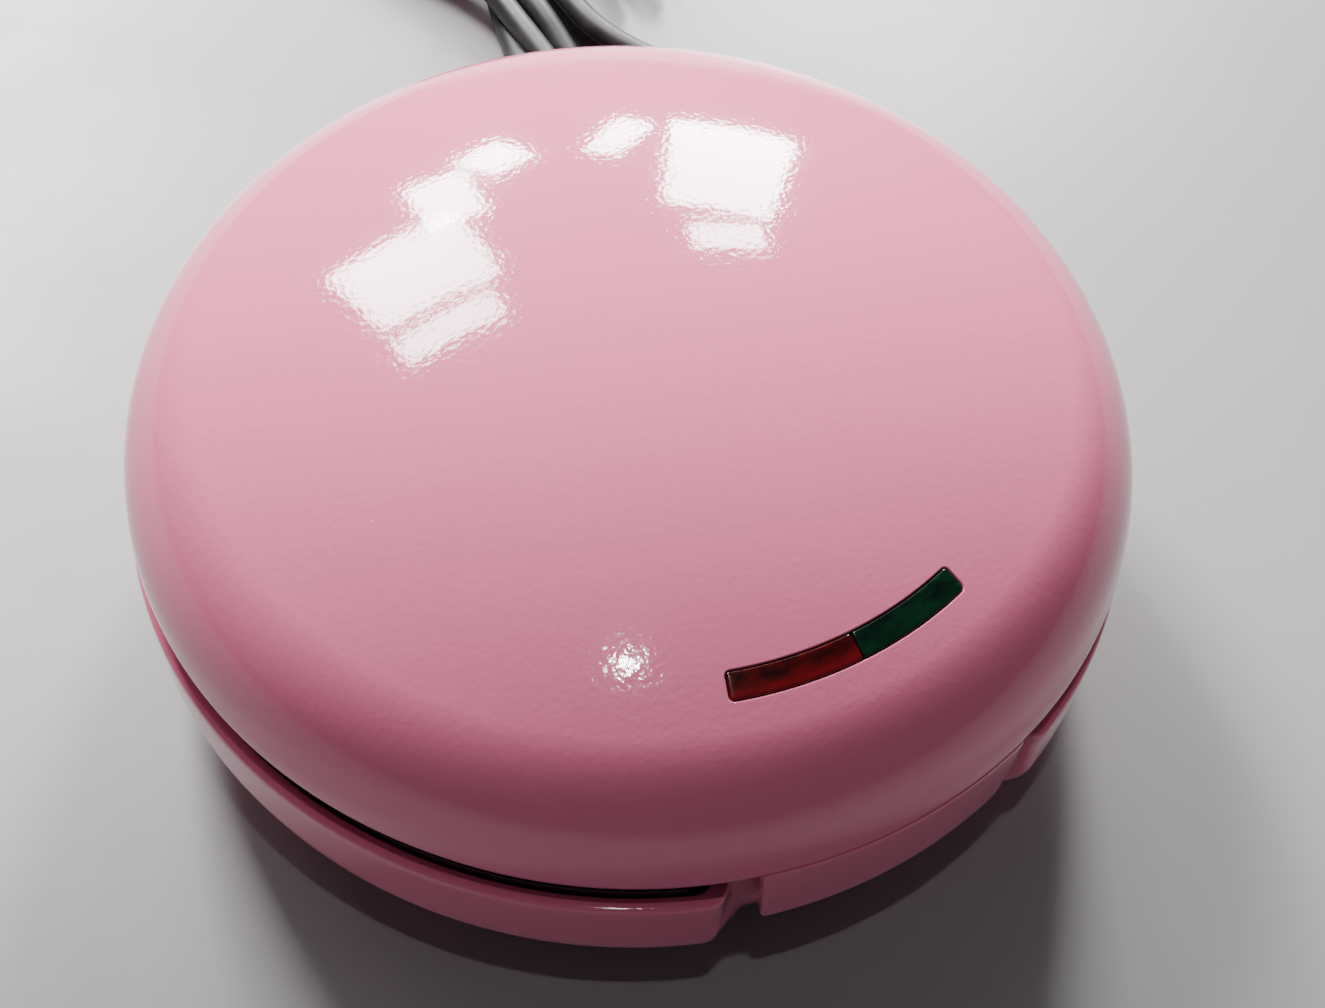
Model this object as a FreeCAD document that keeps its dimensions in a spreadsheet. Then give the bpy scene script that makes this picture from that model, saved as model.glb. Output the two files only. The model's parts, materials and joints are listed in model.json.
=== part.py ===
"""Mini donut maker: a round clamshell appliance with seven ring moulds in each half.

Frame: millimetres, +Z up, front towards -Y, origin on the floor under the middle of the
outline (from the dome's front to the back of the hinge). Everything except the free cord is
drawn about the dome's own vertical axis and then moved by outline_shift.
"""
import FreeCAD, Part
import math
import os
import re
import Sketcher
from FreeCAD import Placement, Rotation, Vector

doc = FreeCAD.newDocument("donut_maker")

# ------------------------------------------------------------------ sizes

DRIVING = [
    # lid
    ("lid_radius", 109.0, "widest radius of the dome"),
    ("total_height", 100.7, "floor to the top of the dome"),
    ("widest_height", 53.9, "height of the dome's widest line"),
    ("shoulder_radius", 29.3, "radius of the dome's shoulder, in section"),
    ("lid_edge_height", 48.5, "underside of the dome's edge"),
    ("lid_wall", 2.6, "wall of the lid"),
    ("lid_edge_round", 2.0, "rounding of the dome's lower edge"),
    ("lid_ledge_width", 3.2, "ledge inside the lid that the frame bears on"),
    ("ledge_depth", 2.4, "thickness of both ledges"),
    # grip tab at the front of the lid
    ("tab_half_angle", 16.5, "half the tab's width, as an angle at the axis"),
    ("tab_inset", 1.0, "tab's face in from the widest line"),
    ("tab_thickness", 2.6, "tab's wall"),
    ("tab_bottom", 31.0, "height of the tab's lower edge"),
    # base
    ("rim_step", 0.5, "how far the base's rim stands out past the dome"),
    ("rim_height", 44.2, "top of the base's rim"),
    ("rim_width", 3.2, "flat top of the rim"),
    ("rim_round", 1.2, "rounding of the rim's outer edge"),
    ("wall_draft", 0.7, "how much the upright wall leans in"),
    ("base_wall", 3.0, "wall of the base"),
    ("knee_height", 29.5, "where the upright wall turns into the bowl"),
    ("knee_radius", 14.0, "radius of that turn"),
    ("bowl_slope", 35.0, "slope of the bowl under the turn"),
    ("floor_height", 8.0, "underside of the base above the table"),
    ("base_ledge_width", 3.3, "ledge inside the base that the frame bears on"),
    # finger recess in the base
    ("recess_half_angle", 21.5, "half the recess's width"),
    ("recess_depth", 7.0, "how far its back wall lies in from the rim"),
    ("scoop_radius", 32.0, "curve from that back wall down to the bowl"),
    ("recess_side_angle", 1.8, "thickness of its side walls, as an angle"),
    # plates
    ("parting_height", 46.3, "plane where the two plates meet"),
    ("parting_gap", 0.4, "gap between the closed plates"),
    ("plate_clearance", 0.5, "gap round a plate, inside its frame"),
    ("flange_thickness", 3.0, "flat web of a plate"),
    ("ring_land", 7.0, "land between two rings"),
    ("ring_margin", 5.3, "land outside the outer rings"),
    ("ring_post_radius", 9.0, "post in the middle of a ring"),
    ("cup_wall", 2.8, "wall under a ring"),
    ("lug_radius", 5.0, "screw lug of a plate and screw post of a housing"),
    ("screw_inset", 10.8, "screws in from the plate's edge"),
    ("draw_clearance", 0.15, "gap each side of a heating element"),
    ("element_radius", 3.3, "radius of the heating tube"),
    ("element_leg_angle", 15.0, "angle of each element leg from the back"),
    ("element_leg_length", 11.0, "length of an element leg"),
    ("element_leg_radius", 2.2, "radius of an element leg"),
    ("leg_clearance", 1.0, "gap round a leg in the heat shield"),
    ("shield_thickness", 0.8, "heat shield"),
    ("shield_inset", 2.0, "shield in from the plate's edge"),
    # frames
    ("frame_clearance", 0.5, "gap round a frame, inside its housing"),
    ("frame_setback", 0.6, "frame's face below the parting plane"),
    ("frame_wall", 2.5, "wall of a frame"),
    ("frame_depth", 8.3, "depth of a frame's skirt from the parting plane"),
    ("frame_width", 10.5, "width of a frame's face"),
    ("frame_step", 2.2, "how far a frame reaches under its plate"),
    # fasteners
    ("screw_radius", 1.5, "plate screws"),
    ("screw_fit", 0.02, "clearance of a screw in its pilot hole"),
    ("screw_pass", 0.25, "clearance of a screw in a through hole"),
    ("screw_head_radius", 2.8, "head of a plate screw"),
    ("screw_head_height", 2.2, "height of that head"),
    ("screw_bite", 10.0, "thread length in a lug or post"),
    ("base_screw_recess", 4.0, "head of a base screw above the base's underside"),
    # hinge
    ("hinge_height", 46.4, "height of the hinge pin"),
    ("knuckle_radius", 5.5, "outside of the knuckles"),
    ("pin_radius", 2.2, "hinge pin"),
    ("pin_clearance", 0.05, "running clearance of the lid's knuckle on the pin"),
    ("pin_seat", 0.01, "clearance of the pin in the base's ears"),
    ("hinge_gap", 0.5, "gap between the knuckle and the rim"),
    ("hinge_half_width", 22.0, "half the hinge's width"),
    ("ear_width", 7.0, "width of a base ear"),
    ("ear_side_gap", 0.4, "gap between an ear and the lid's knuckle"),
    ("ear_foot", 33.0, "height where an ear leaves the wall"),
    # indicator lenses
    ("lens_inner_radius", 81.4, "inner edge of the lens slot"),
    ("lens_outer_radius", 86.9, "outer edge of the lens slot"),
    ("red_span", 18.3, "angle of the red lens from the front line"),
    ("green_span", 17.5, "angle of the green lens from the front line"),
    ("lens_fit", 0.12, "gap round a lens"),
    ("lens_gap", 0.2, "gap at a lens's ends, as an angle"),
    ("lens_sunk", 0.5, "lens face below the dome"),
    ("lens_flange", 1.4, "flange of a lens behind the wall"),
    ("lens_flange_thickness", 1.5, "thickness of that flange"),
    ("lamp_radius", 2.4, "neon lamp"),
    ("lamp_length", 15.0, "length of a lamp"),
    # feet
    ("foot_radius", 7.5, "foot at the table"),
    ("foot_inset", 12.5, "foot in from the floor's flat edge"),
    ("stem_radius", 3.0, "stem of a foot"),
    ("stem_fit", 0.05, "clearance of that stem"),
    # cord
    ("cord_diameter", 7.0, "mains lead"),
    ("cord_exit_angle", 20.0, "direction of the cord's exit, from the back towards +X"),
    ("cord_exit_height", 17.5, "height of the exit"),
    ("gland_neck_radius", 5.2, "neck of the strain relief in the wall"),
    ("gland_fit", 0.05, "clearance of that neck, and of the lead inside it"),
    ("gland_collar_radius", 7.4, "collar of the strain relief against its boss"),
    ("gland_collar_length", 3.0, "thickness of that collar"),
    ("gland_flange", 1.4, "flange of the strain relief behind the wall"),
    ("gland_length", 26.0, "strain relief outside the boss"),
    ("cord_inset", 10.0, "how far the free cord starts inside the strain relief"),
    ("gland_tip_wall", 1.1, "wall of the strain relief at its tip"),
    ("boss_radius", 8.6, "flat boss round the cord's exit"),
    ("boss_proud", 0.6, "boss's face in from the upright wall"),
    ("boss_length", 21.0, "length of that boss through the bowl"),
    ("boss_wall", 4.0, "wall under that boss, which the neck passes"),
    ("clamp_circle", 82.0, "place of the cord clamp, from the axis"),
    ("clamp_screw_spread", 9.0, "clamp screws each side of the lead"),
    ("clamp_ear_height", 4.0, "height of the clamp's ears"),
]

WORKED = [
    # dome
    ("dome_rise", "total_height - widest_height"),
    ("shoulder_reach", "lid_radius - shoulder_radius"),
    ("crown_radius", "(shoulder_reach^2 + dome_rise^2 - shoulder_radius^2)"
                     " / (2 * (dome_rise - shoulder_radius))"),
    ("crown_centre", "total_height - crown_radius"),
    ("crown_to_shoulder", "crown_radius - shoulder_radius"),
    ("edge_inner_radius", "shoulder_reach + sqrt((shoulder_radius - lid_wall)^2"
                          " - (widest_height - lid_edge_height)^2)"),
    # base
    ("rim_radius", "lid_radius + rim_step"),
    ("rim_inner_radius", "rim_radius - rim_width"),
    ("wall_radius", "rim_radius - wall_draft"),
    ("knee_reach", "wall_radius - knee_radius"),
    ("slope_reach", "knee_reach + knee_radius * sin(bowl_slope)"),
    ("slope_height", "knee_height - knee_radius * cos(bowl_slope)"),
    ("floor_reach", "slope_reach - (slope_height - floor_height) / tan(bowl_slope)"),
    ("inner_knee", "knee_radius - base_wall"),
    ("inner_slope_reach", "knee_reach + inner_knee * sin(bowl_slope)"),
    ("inner_slope_height", "knee_height - inner_knee * cos(bowl_slope)"),
    ("inner_floor_height", "floor_height + base_wall"),
    ("inner_floor_reach", "inner_slope_reach"
                          " - (inner_slope_height - inner_floor_height) / tan(bowl_slope)"),
    ("recess_radius", "rim_radius - recess_depth"),
    ("recess_inner", "recess_radius - base_wall"),
    ("scoop_reach", "recess_radius - scoop_radius"),
    ("scoop_height", "floor_height + (scoop_radius + (scoop_reach - floor_reach)"
                     " * sin(bowl_slope)) / cos(bowl_slope)"),
    ("middle_knee", "knee_radius - base_wall / 2"),
    # stack of pieces on each side of the parting plane, as depths from it
    ("plate_face", "parting_gap / 2"),
    ("base_frame_radius", "rim_inner_radius - frame_clearance"),
    ("lid_frame_radius", "edge_inner_radius - frame_clearance"),
    ("frame_inner_radius", "lid_frame_radius - frame_width"),
    ("plate_radius", "frame_inner_radius - plate_clearance"),
    ("flange_depth", "plate_face + flange_thickness"),
    ("ring_radius", "(plate_radius - ring_margin - ring_land) / 3"),
    ("ring_pitch", "2 * ring_radius + ring_land"),
    ("ring_middle", "(ring_radius + ring_post_radius) / 2"),
    ("ring_bore", "(ring_radius - ring_post_radius) / 2"),
    ("cup_radius", "ring_bore + cup_wall"),
    ("cup_depth", "plate_face + cup_radius"),
    ("element_depth", "cup_depth + draw_clearance + element_radius"),
    ("shield_depth", "element_depth + element_radius + draw_clearance"),
    ("post_depth", "shield_depth + shield_thickness"),
    ("screw_circle", "plate_radius - screw_inset"),
    # hinge
    ("hinge_reach", "rim_radius + knuckle_radius + hinge_gap"),
    ("ear_start", "hinge_half_width - ear_width"),
    ("knuckle_half_width", "ear_start - ear_side_gap"),
    ("hinge_back", "hinge_reach + knuckle_radius"),
    ("outline_shift", "(hinge_back - lid_radius) / 2"),
    # feet and cord
    ("foot_circle", "floor_reach - foot_inset"),
    ("cord_radius", "cord_diameter / 2"),
    ("boss_face", "wall_radius - boss_proud"),
    ("gland_tip", "boss_face + gland_length"),
    ("cord_start", "gland_tip - cord_inset"),
]

dims = doc.addObject("Spreadsheet::Sheet", "dims")
for row, (alias, number, note) in enumerate(DRIVING, start=1):
    dims.set(f"A{row}", note)
    dims.set(f"B{row}", str(number))
    dims.setAlias(f"B{row}", alias)
for row, (alias, formula) in enumerate(WORKED, start=1):
    dims.set(f"D{row}", "=" + formula)
    dims.setAlias(f"D{row}", alias)
doc.recompute()

ALIASES = {entry[0] for entry in DRIVING} | {entry[0] for entry in WORKED}


# ---------------------------------------------------------------- helpers

def full(expression):
    """The expression with the sheet's name put before each of its aliases."""
    def name(word):
        return "dims." + word.group() if word.group() in ALIASES else word.group()
    return re.sub(r"[a-z][a-z_]+", name, str(expression))


def size(expression):
    return float(dims.evalExpression(full(expression)))


def bind(thing, **sizes):
    """Bind properties to expressions; x, y and z are the placement's position."""
    for key, expression in sizes.items():
        path = f"Placement.Base.{key}" if key in ("x", "y", "z") else key
        thing.setExpression(path, full(expression))
    return thing


def origin_feature(body, role):
    return next(item for item in body.Origin.OriginFeatures if item.Role == role)


def new_body(label):
    body = doc.addObject("PartDesign::Body", label)
    body.AllowCompound = True
    return body


def arc_between(start, end, radius, turn):
    """Arc no longer than a half circle; turn says on which side of travel its centre lies."""
    chord = end - start
    side = Vector(-chord.y, chord.x, 0).normalize()
    if turn == "right":
        side = side * -1
    rise = math.sqrt(max(radius**2 - (chord.Length / 2)**2, 0))
    centre = (start + end) / 2 + side * rise
    first, last = (start, end) if turn == "left" else (end, start)
    angles = [math.atan2(p.y - centre.y, p.x - centre.x) for p in (first, last)]
    return Part.ArcOfCircle(Part.Circle(centre, Vector(0, 0, 1), radius), *angles)


def sketch_on(body, plane, name, lift="0"):
    sketch = body.newObject("Sketcher::SketchObject", name)
    sketch.AttachmentSupport = [(origin_feature(body, plane), "")]
    sketch.MapMode = "FlatFace"
    sketch.setExpression("AttachmentOffset.Base.z", full(lift))
    return sketch


def pin_point(sketch, edge, end, x, y):
    """Fix one end of an edge at a place given by two expressions."""
    for kind, axis, expression in (("DistanceX", -2, x), ("DistanceY", -1, y)):
        if str(expression) == "0":
            sketch.addConstraint(Sketcher.Constraint("PointOnObject", edge, end, axis))
            continue
        datum = sketch.addConstraint(Sketcher.Constraint(kind, edge, end, size(expression)))
        sketch.setExpression(f"Constraints[{datum}]", full(expression))


def draw(body, plane, name, corners, lift="0", axis=None):
    """Closed outline. A corner is (x, y), or (x, y, radius, turn) where an arc leaves it.

    axis gives two points of a construction line to turn the outline about."""
    sketch = sketch_on(body, plane, name, lift)
    places = [Vector(size(corner[0]), size(corner[1]), 0) for corner in corners]
    ends = []
    for index, corner in enumerate(corners):
        start, end = places[index], places[(index + 1) % len(corners)]
        if len(corner) == 2:
            sketch.addGeometry(Part.LineSegment(start, end), False)
            ends.append((1, 2))
            continue
        radius, turn = corner[2:]
        sketch.addGeometry(arc_between(start, end, size(radius), turn), False)
        ends.append((1, 2) if turn == "left" else (2, 1))
        datum = sketch.addConstraint(Sketcher.Constraint("Radius", index, size(radius)))
        sketch.setExpression(f"Constraints[{datum}]", full(radius))
    for index, corner in enumerate(corners):
        follower = (index + 1) % len(corners)
        sketch.addConstraint(Sketcher.Constraint(
            "Coincident", index, ends[index][1], follower, ends[follower][0]))
        pin_point(sketch, index, ends[index][0], corner[0], corner[1])
    if axis is not None:
        foot, head = [Vector(size(x), size(y), 0) for x, y in axis]
        line = sketch.addGeometry(Part.LineSegment(foot, head), True)
        pin_point(sketch, line, 1, *axis[0])
        pin_point(sketch, line, 2, *axis[1])
    doc.recompute()
    return sketch


def draw_circle(body, plane, name, x, y, radius, lift="0"):
    sketch = sketch_on(body, plane, name, lift)
    circle = Part.Circle(Vector(size(x), size(y), 0), Vector(0, 0, 1), size(radius))
    sketch.addGeometry(circle, False)
    pin_point(sketch, 0, 3, x, y)
    datum = sketch.addConstraint(Sketcher.Constraint("Radius", 0, size(radius)))
    sketch.setExpression(f"Constraints[{datum}]", full(radius))
    doc.recompute()
    return sketch


def settle(body, feature, before=None):
    """Recompute, and make sure that a cut has cut something."""
    doc.recompute()
    if before is not None and before - body.Shape.Volume < 0.05:
        raise RuntimeError(f"{feature.Label} cuts nothing")
    return feature


def revolve(body, sketch, name, turn="360", both_ways=False, own_axis=False, cut=False):
    before = body.Shape.Volume if cut else None
    kind = "PartDesign::Groove" if cut else "PartDesign::Revolution"
    feature = body.newObject(kind, name)
    feature.Profile = sketch
    feature.ReferenceAxis = (sketch, ["Axis0" if own_axis else "V_Axis"])
    feature.Midplane = both_ways
    feature.setExpression("Angle", full(turn))
    return settle(body, feature, before)


def extrude(body, sketch, name, length, both_ways=False, cut=False):
    before = body.Shape.Volume if cut else None
    feature = body.newObject("PartDesign::Pocket" if cut else "PartDesign::Pad", name)
    feature.Profile = sketch
    feature.Midplane = both_ways
    feature.Reversed = cut and not both_ways
    feature.setExpression("Length", full(length))
    return settle(body, feature, before)


def repeat(body, features, name, count):
    pattern = body.newObject("PartDesign::PolarPattern", name)
    pattern.Originals = features
    pattern.Axis = (origin_feature(body, "Z_Axis"), [""])
    pattern.Angle = 360
    pattern.Occurrences = count
    body.Tip = pattern
    doc.recompute()
    return pattern


def box(label, low, high):
    """Box between two corners, each three expressions."""
    block = doc.addObject("Part::Box", label)
    sides = [f"({top}) - ({bottom})" for bottom, top in zip(low, high)]
    return bind(block, x=low[0], y=low[1], z=low[2], Length=sides[0], Width=sides[1],
                Height=sides[2])


def cylinder(label, base, radius, height, direction=(0, 0, 1)):
    rod = doc.addObject("Part::Cylinder", label)
    rod.Placement = Placement(Vector(), Rotation(Vector(0, 0, 1), Vector(*direction)))
    return bind(rod, x=base[0], y=base[1], z=base[2], Radius=radius, Height=height)


def cone(label, base, radius_low, radius_high, height, direction=(0, 0, 1)):
    taper = doc.addObject("Part::Cone", label)
    taper.Placement = Placement(Vector(), Rotation(Vector(0, 0, 1), Vector(*direction)))
    return bind(taper, x=base[0], y=base[1], z=base[2], Radius1=radius_low,
                Radius2=radius_high, Height=height)


def fuse(label, pieces):
    joined = doc.addObject("Part::MultiFuse", label)
    joined.Shapes = pieces
    return joined


def cut(label, base, tool):
    rest = doc.addObject("Part::Cut", label)
    rest.Base = base
    rest.Tool = tool
    return rest


def group(label, pieces):
    together = doc.addObject("Part::Compound", label)
    together.Links = pieces
    return together


def from_shape(label, shape):
    piece = doc.addObject("Part::Feature", label)
    piece.Shape = shape
    return piece


nodes = []


def keep(piece, label, turn="0", shifted=True):
    """Name a finished sub-part, turn it about the dome's axis and put it in the frame."""
    piece.Label = label
    piece.Placement = Placement(Vector(), Rotation(Vector(0, 0, 1), size(turn)))
    if turn != "0":
        piece.setExpression("Placement.Rotation.Angle", full(turn))
    if shifted:
        bind(piece, y="-outline_shift")
    nodes.append(piece)
    return piece


def tube_path(points):
    """Straight runs joined by tangent arcs, each as large as its two runs allow."""
    corners = [Vector(*point) for point in points]
    edges, radii = [], []
    here = corners[0]
    for before, corner, after in zip(corners, corners[1:], corners[2:]):
        back, ahead = before - corner, after - corner
        turn = math.pi - back.getAngle(ahead)
        radius = 0.45 * min(back.Length, ahead.Length) / math.tan(turn / 2)
        reach = radius * math.tan(turn / 2)
        back.normalize()
        ahead.normalize()
        middle_way = (back + ahead).normalize()
        centre = corner + middle_way * (radius / math.cos(turn / 2))
        start, end = corner + back * reach, corner + ahead * reach
        edges.append(Part.LineSegment(here, start).toShape())
        edges.append(Part.Arc(start, centre - middle_way * radius, end).toShape())
        radii.append(radius)
        here = end
    edges.append(Part.LineSegment(here, corners[-1]).toShape())
    return Part.Wire(edges), radii


def tube(points, radius):
    """Round tube along a route; returns its solid, its path's length and its radii."""
    path, radii = tube_path(points)
    start = Vector(*points[0])
    ahead = (Vector(*points[1]) - start).normalize()
    section = Part.Wire([Part.Circle(start, ahead, radius).toShape()])
    solid = path.makePipeShell([section], True, True)
    ratio = solid.Volume / (math.pi * radius**2 * path.Length)
    if abs(ratio - 1) > 0.01:
        raise RuntimeError(f"tube's volume is {ratio:.3f} of its section times its length")
    return solid, path.Length, radii


def around(radius, angle, height):
    """Place at a radius and at an angle in degrees from +X, about the dome's axis."""
    turn = math.radians(angle)
    return (radius * math.cos(turn), radius * math.sin(turn), height)


def depth(side, distance):
    """Height of a place that lies a distance above (lid) or below (base) the parting."""
    return f"parting_height {side} ({distance})"


LID, BASE = "+", "-"
OPPOSITE = {LID: BASE, BASE: LID}


# ----------------------------------------------------------- base housing

def crown_at(radius, inset):
    """Height of the dome's crown at a radius, for a surface an inset under the outside."""
    return f"crown_centre + sqrt((crown_radius - ({inset}))^2 - ({radius})^2)"


def make_base_housing():
    shell = new_body("base_shell")
    ledge_top = depth(BASE, "frame_depth")
    ledge_inner = "rim_inner_radius - base_ledge_width"
    section = draw(shell, "XZ_Plane", "base_section", [
        ("0", "floor_height"),
        ("floor_reach", "floor_height"),
        ("slope_reach", "slope_height", "knee_radius", "left"),
        ("wall_radius", "knee_height"),
        ("rim_radius", "rim_height - rim_round", "rim_round", "left"),
        ("rim_radius - rim_round", "rim_height"),
        ("rim_inner_radius", "rim_height"),
        ("rim_inner_radius", ledge_top),
        (ledge_inner, ledge_top),
        (ledge_inner, f"{ledge_top} - ledge_depth"),
        ("wall_radius - base_wall", f"{ledge_top} - 2 * ledge_depth"),
        ("wall_radius - base_wall", "knee_height", "inner_knee", "right"),
        ("inner_slope_reach", "inner_slope_height"),
        ("inner_floor_reach", "inner_floor_height"),
        ("0", "inner_floor_height"),
    ])
    revolve(shell, section, "base_turned")
    def scoop_end(radius):
        return (f"-(scoop_reach + ({radius}) * sin(bowl_slope))",
                f"scoop_height - ({radius}) * cos(bowl_slope)")

    back_wall = draw(shell, "YZ_Plane", "recess_back", [
        ("-recess_inner", "rim_height"),
        ("-recess_inner", "scoop_height", "scoop_radius - base_wall", "left"),
        scoop_end("scoop_radius - base_wall"),
        ("-floor_reach", "floor_height + base_wall / 2"),
        ("-(knee_reach + middle_knee * sin(bowl_slope))",
         "knee_height - middle_knee * cos(bowl_slope)", "middle_knee", "right"),
        ("-(knee_reach + middle_knee)", "knee_height"),
        ("-(knee_reach + middle_knee)", "rim_height"),
    ])
    revolve(shell, back_wall, "recess_walls",
            turn="2 * (recess_half_angle + recess_side_angle)", both_ways=True)
    opening = draw(shell, "YZ_Plane", "recess_section", [
        ("-recess_radius", "rim_height + 5"),
        ("-recess_radius", "scoop_height", "scoop_radius", "left"),
        scoop_end("scoop_radius"),
        ("-(rim_radius + 5)", scoop_end("scoop_radius")[1]),
        ("-(rim_radius + 5)", "rim_height + 5"),
    ])
    revolve(shell, opening, "finger_recess", turn="2 * recess_half_angle", both_ways=True,
            cut=True)

    post = draw_circle(shell, "XY_Plane", "post_circle", "0", "screw_circle", "lug_radius",
                       lift="inner_floor_height - 1")
    posts = extrude(shell, post, "post",
                    f"{depth(BASE, 'post_depth')} - inner_floor_height + 1")
    pilot = draw_circle(shell, "XY_Plane", "post_bore_circle", "0", "screw_circle",
                        "screw_radius + screw_pass", lift="floor_height - 1")
    bore = extrude(shell, pilot, "post_bore", "parting_height", cut=True)
    mouth = draw_circle(shell, "XY_Plane", "post_mouth_circle", "0", "screw_circle",
                        "screw_head_radius + screw_pass", lift="floor_height - 1")
    recess = extrude(shell, mouth, "post_mouth",
                     "base_screw_recess + screw_head_height + 1", cut=True)
    repeat(shell, [posts, bore, recess], "posts", 3)

    vent = draw(shell, "XY_Plane", "vent_outline", [
        ("24", "-2"), ("46", "-2"), ("46", "2"), ("24", "2"),
    ], lift="floor_height - 1")
    repeat(shell, [extrude(shell, vent, "vent", "base_wall + 2", cut=True)], "vents", 8)

    ears = new_body("base_ears")
    ear_inner = "sqrt(rim_inner_radius^2 - ear_start^2) + 0.2"
    outline = draw(ears, "YZ_Plane", "ear_outline", [
        (ear_inner, "ear_foot"),
        ("hinge_reach + knuckle_radius / 2", "ear_foot + knuckle_radius"),
        ("hinge_reach + knuckle_radius", "hinge_height", "knuckle_radius", "left"),
        ("hinge_reach", "hinge_height + knuckle_radius", "knuckle_radius", "left"),
        ("hinge_reach - knuckle_radius", "hinge_height"),
        (ear_inner, "rim_height"),
    ])
    extrude(ears, outline, "ear_block", "2 * hinge_half_width", both_ways=True)
    middle = draw(ears, "YZ_Plane", "ear_gap_outline", [
        ("0", "0"), ("hinge_back + 5", "0"),
        ("hinge_back + 5", "total_height"), ("0", "total_height"),
    ])
    extrude(ears, middle, "ear_gap", "2 * ear_start", both_ways=True, cut=True)
    hole = draw_circle(ears, "YZ_Plane", "ear_bore_circle", "hinge_reach", "hinge_height",
                       "pin_radius + pin_seat")
    extrude(ears, hole, "ear_bore", "2 * hinge_half_width + 2", both_ways=True, cut=True)

    towards = around(1, 90 - size("cord_exit_angle"), 0)
    exit_way = ("sin(cord_exit_angle)", "cos(cord_exit_angle)")

    def on_exit(label, near, far, radius):
        start = (f"({near}) * {exit_way[0]}", f"({near}) * {exit_way[1]}", "cord_exit_height")
        return cylinder(label, start, radius, f"({far}) - ({near})", towards)

    boss = on_exit("exit_boss", "boss_face - boss_length", "boss_face", "boss_radius")
    hole = on_exit("exit_hole", "boss_face - boss_length", "boss_face + 5",
                   "gland_neck_radius + gland_fit")
    seat = on_exit("exit_seat", "boss_face - boss_length - 1", "boss_face - boss_wall",
                   "gland_neck_radius + gland_flange + 0.2")
    stems = []
    for quarter in range(4):
        angle = 45 + 90 * quarter
        place = (f"foot_circle * cos({angle})", f"foot_circle * sin({angle})",
                 "floor_height - 1")
        stems.append(cylinder(f"stem_hole_{quarter}", place, "stem_radius + stem_fit",
                              "base_wall + 2"))
    for side, name in (("+", "right"), ("-", "left")):
        place = (f"clamp_circle * {exit_way[0]} {side} clamp_screw_spread * {exit_way[1]}",
                 f"clamp_circle * {exit_way[1]} {OPPOSITE[side]} clamp_screw_spread"
                 f" * {exit_way[0]}",
                 "floor_height + 1")
        stems.append(cylinder(f"clamp_pilot_{name}", place, "screw_radius + screw_fit",
                              "base_wall"))
    solid = fuse("base_solid", [shell, ears, boss])
    drilled = cut("base_drilled", solid, fuse("base_holes", [hole, seat] + stems))
    return keep(drilled, "base_housing")


# ------------------------------------------------------------ lid housing

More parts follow.
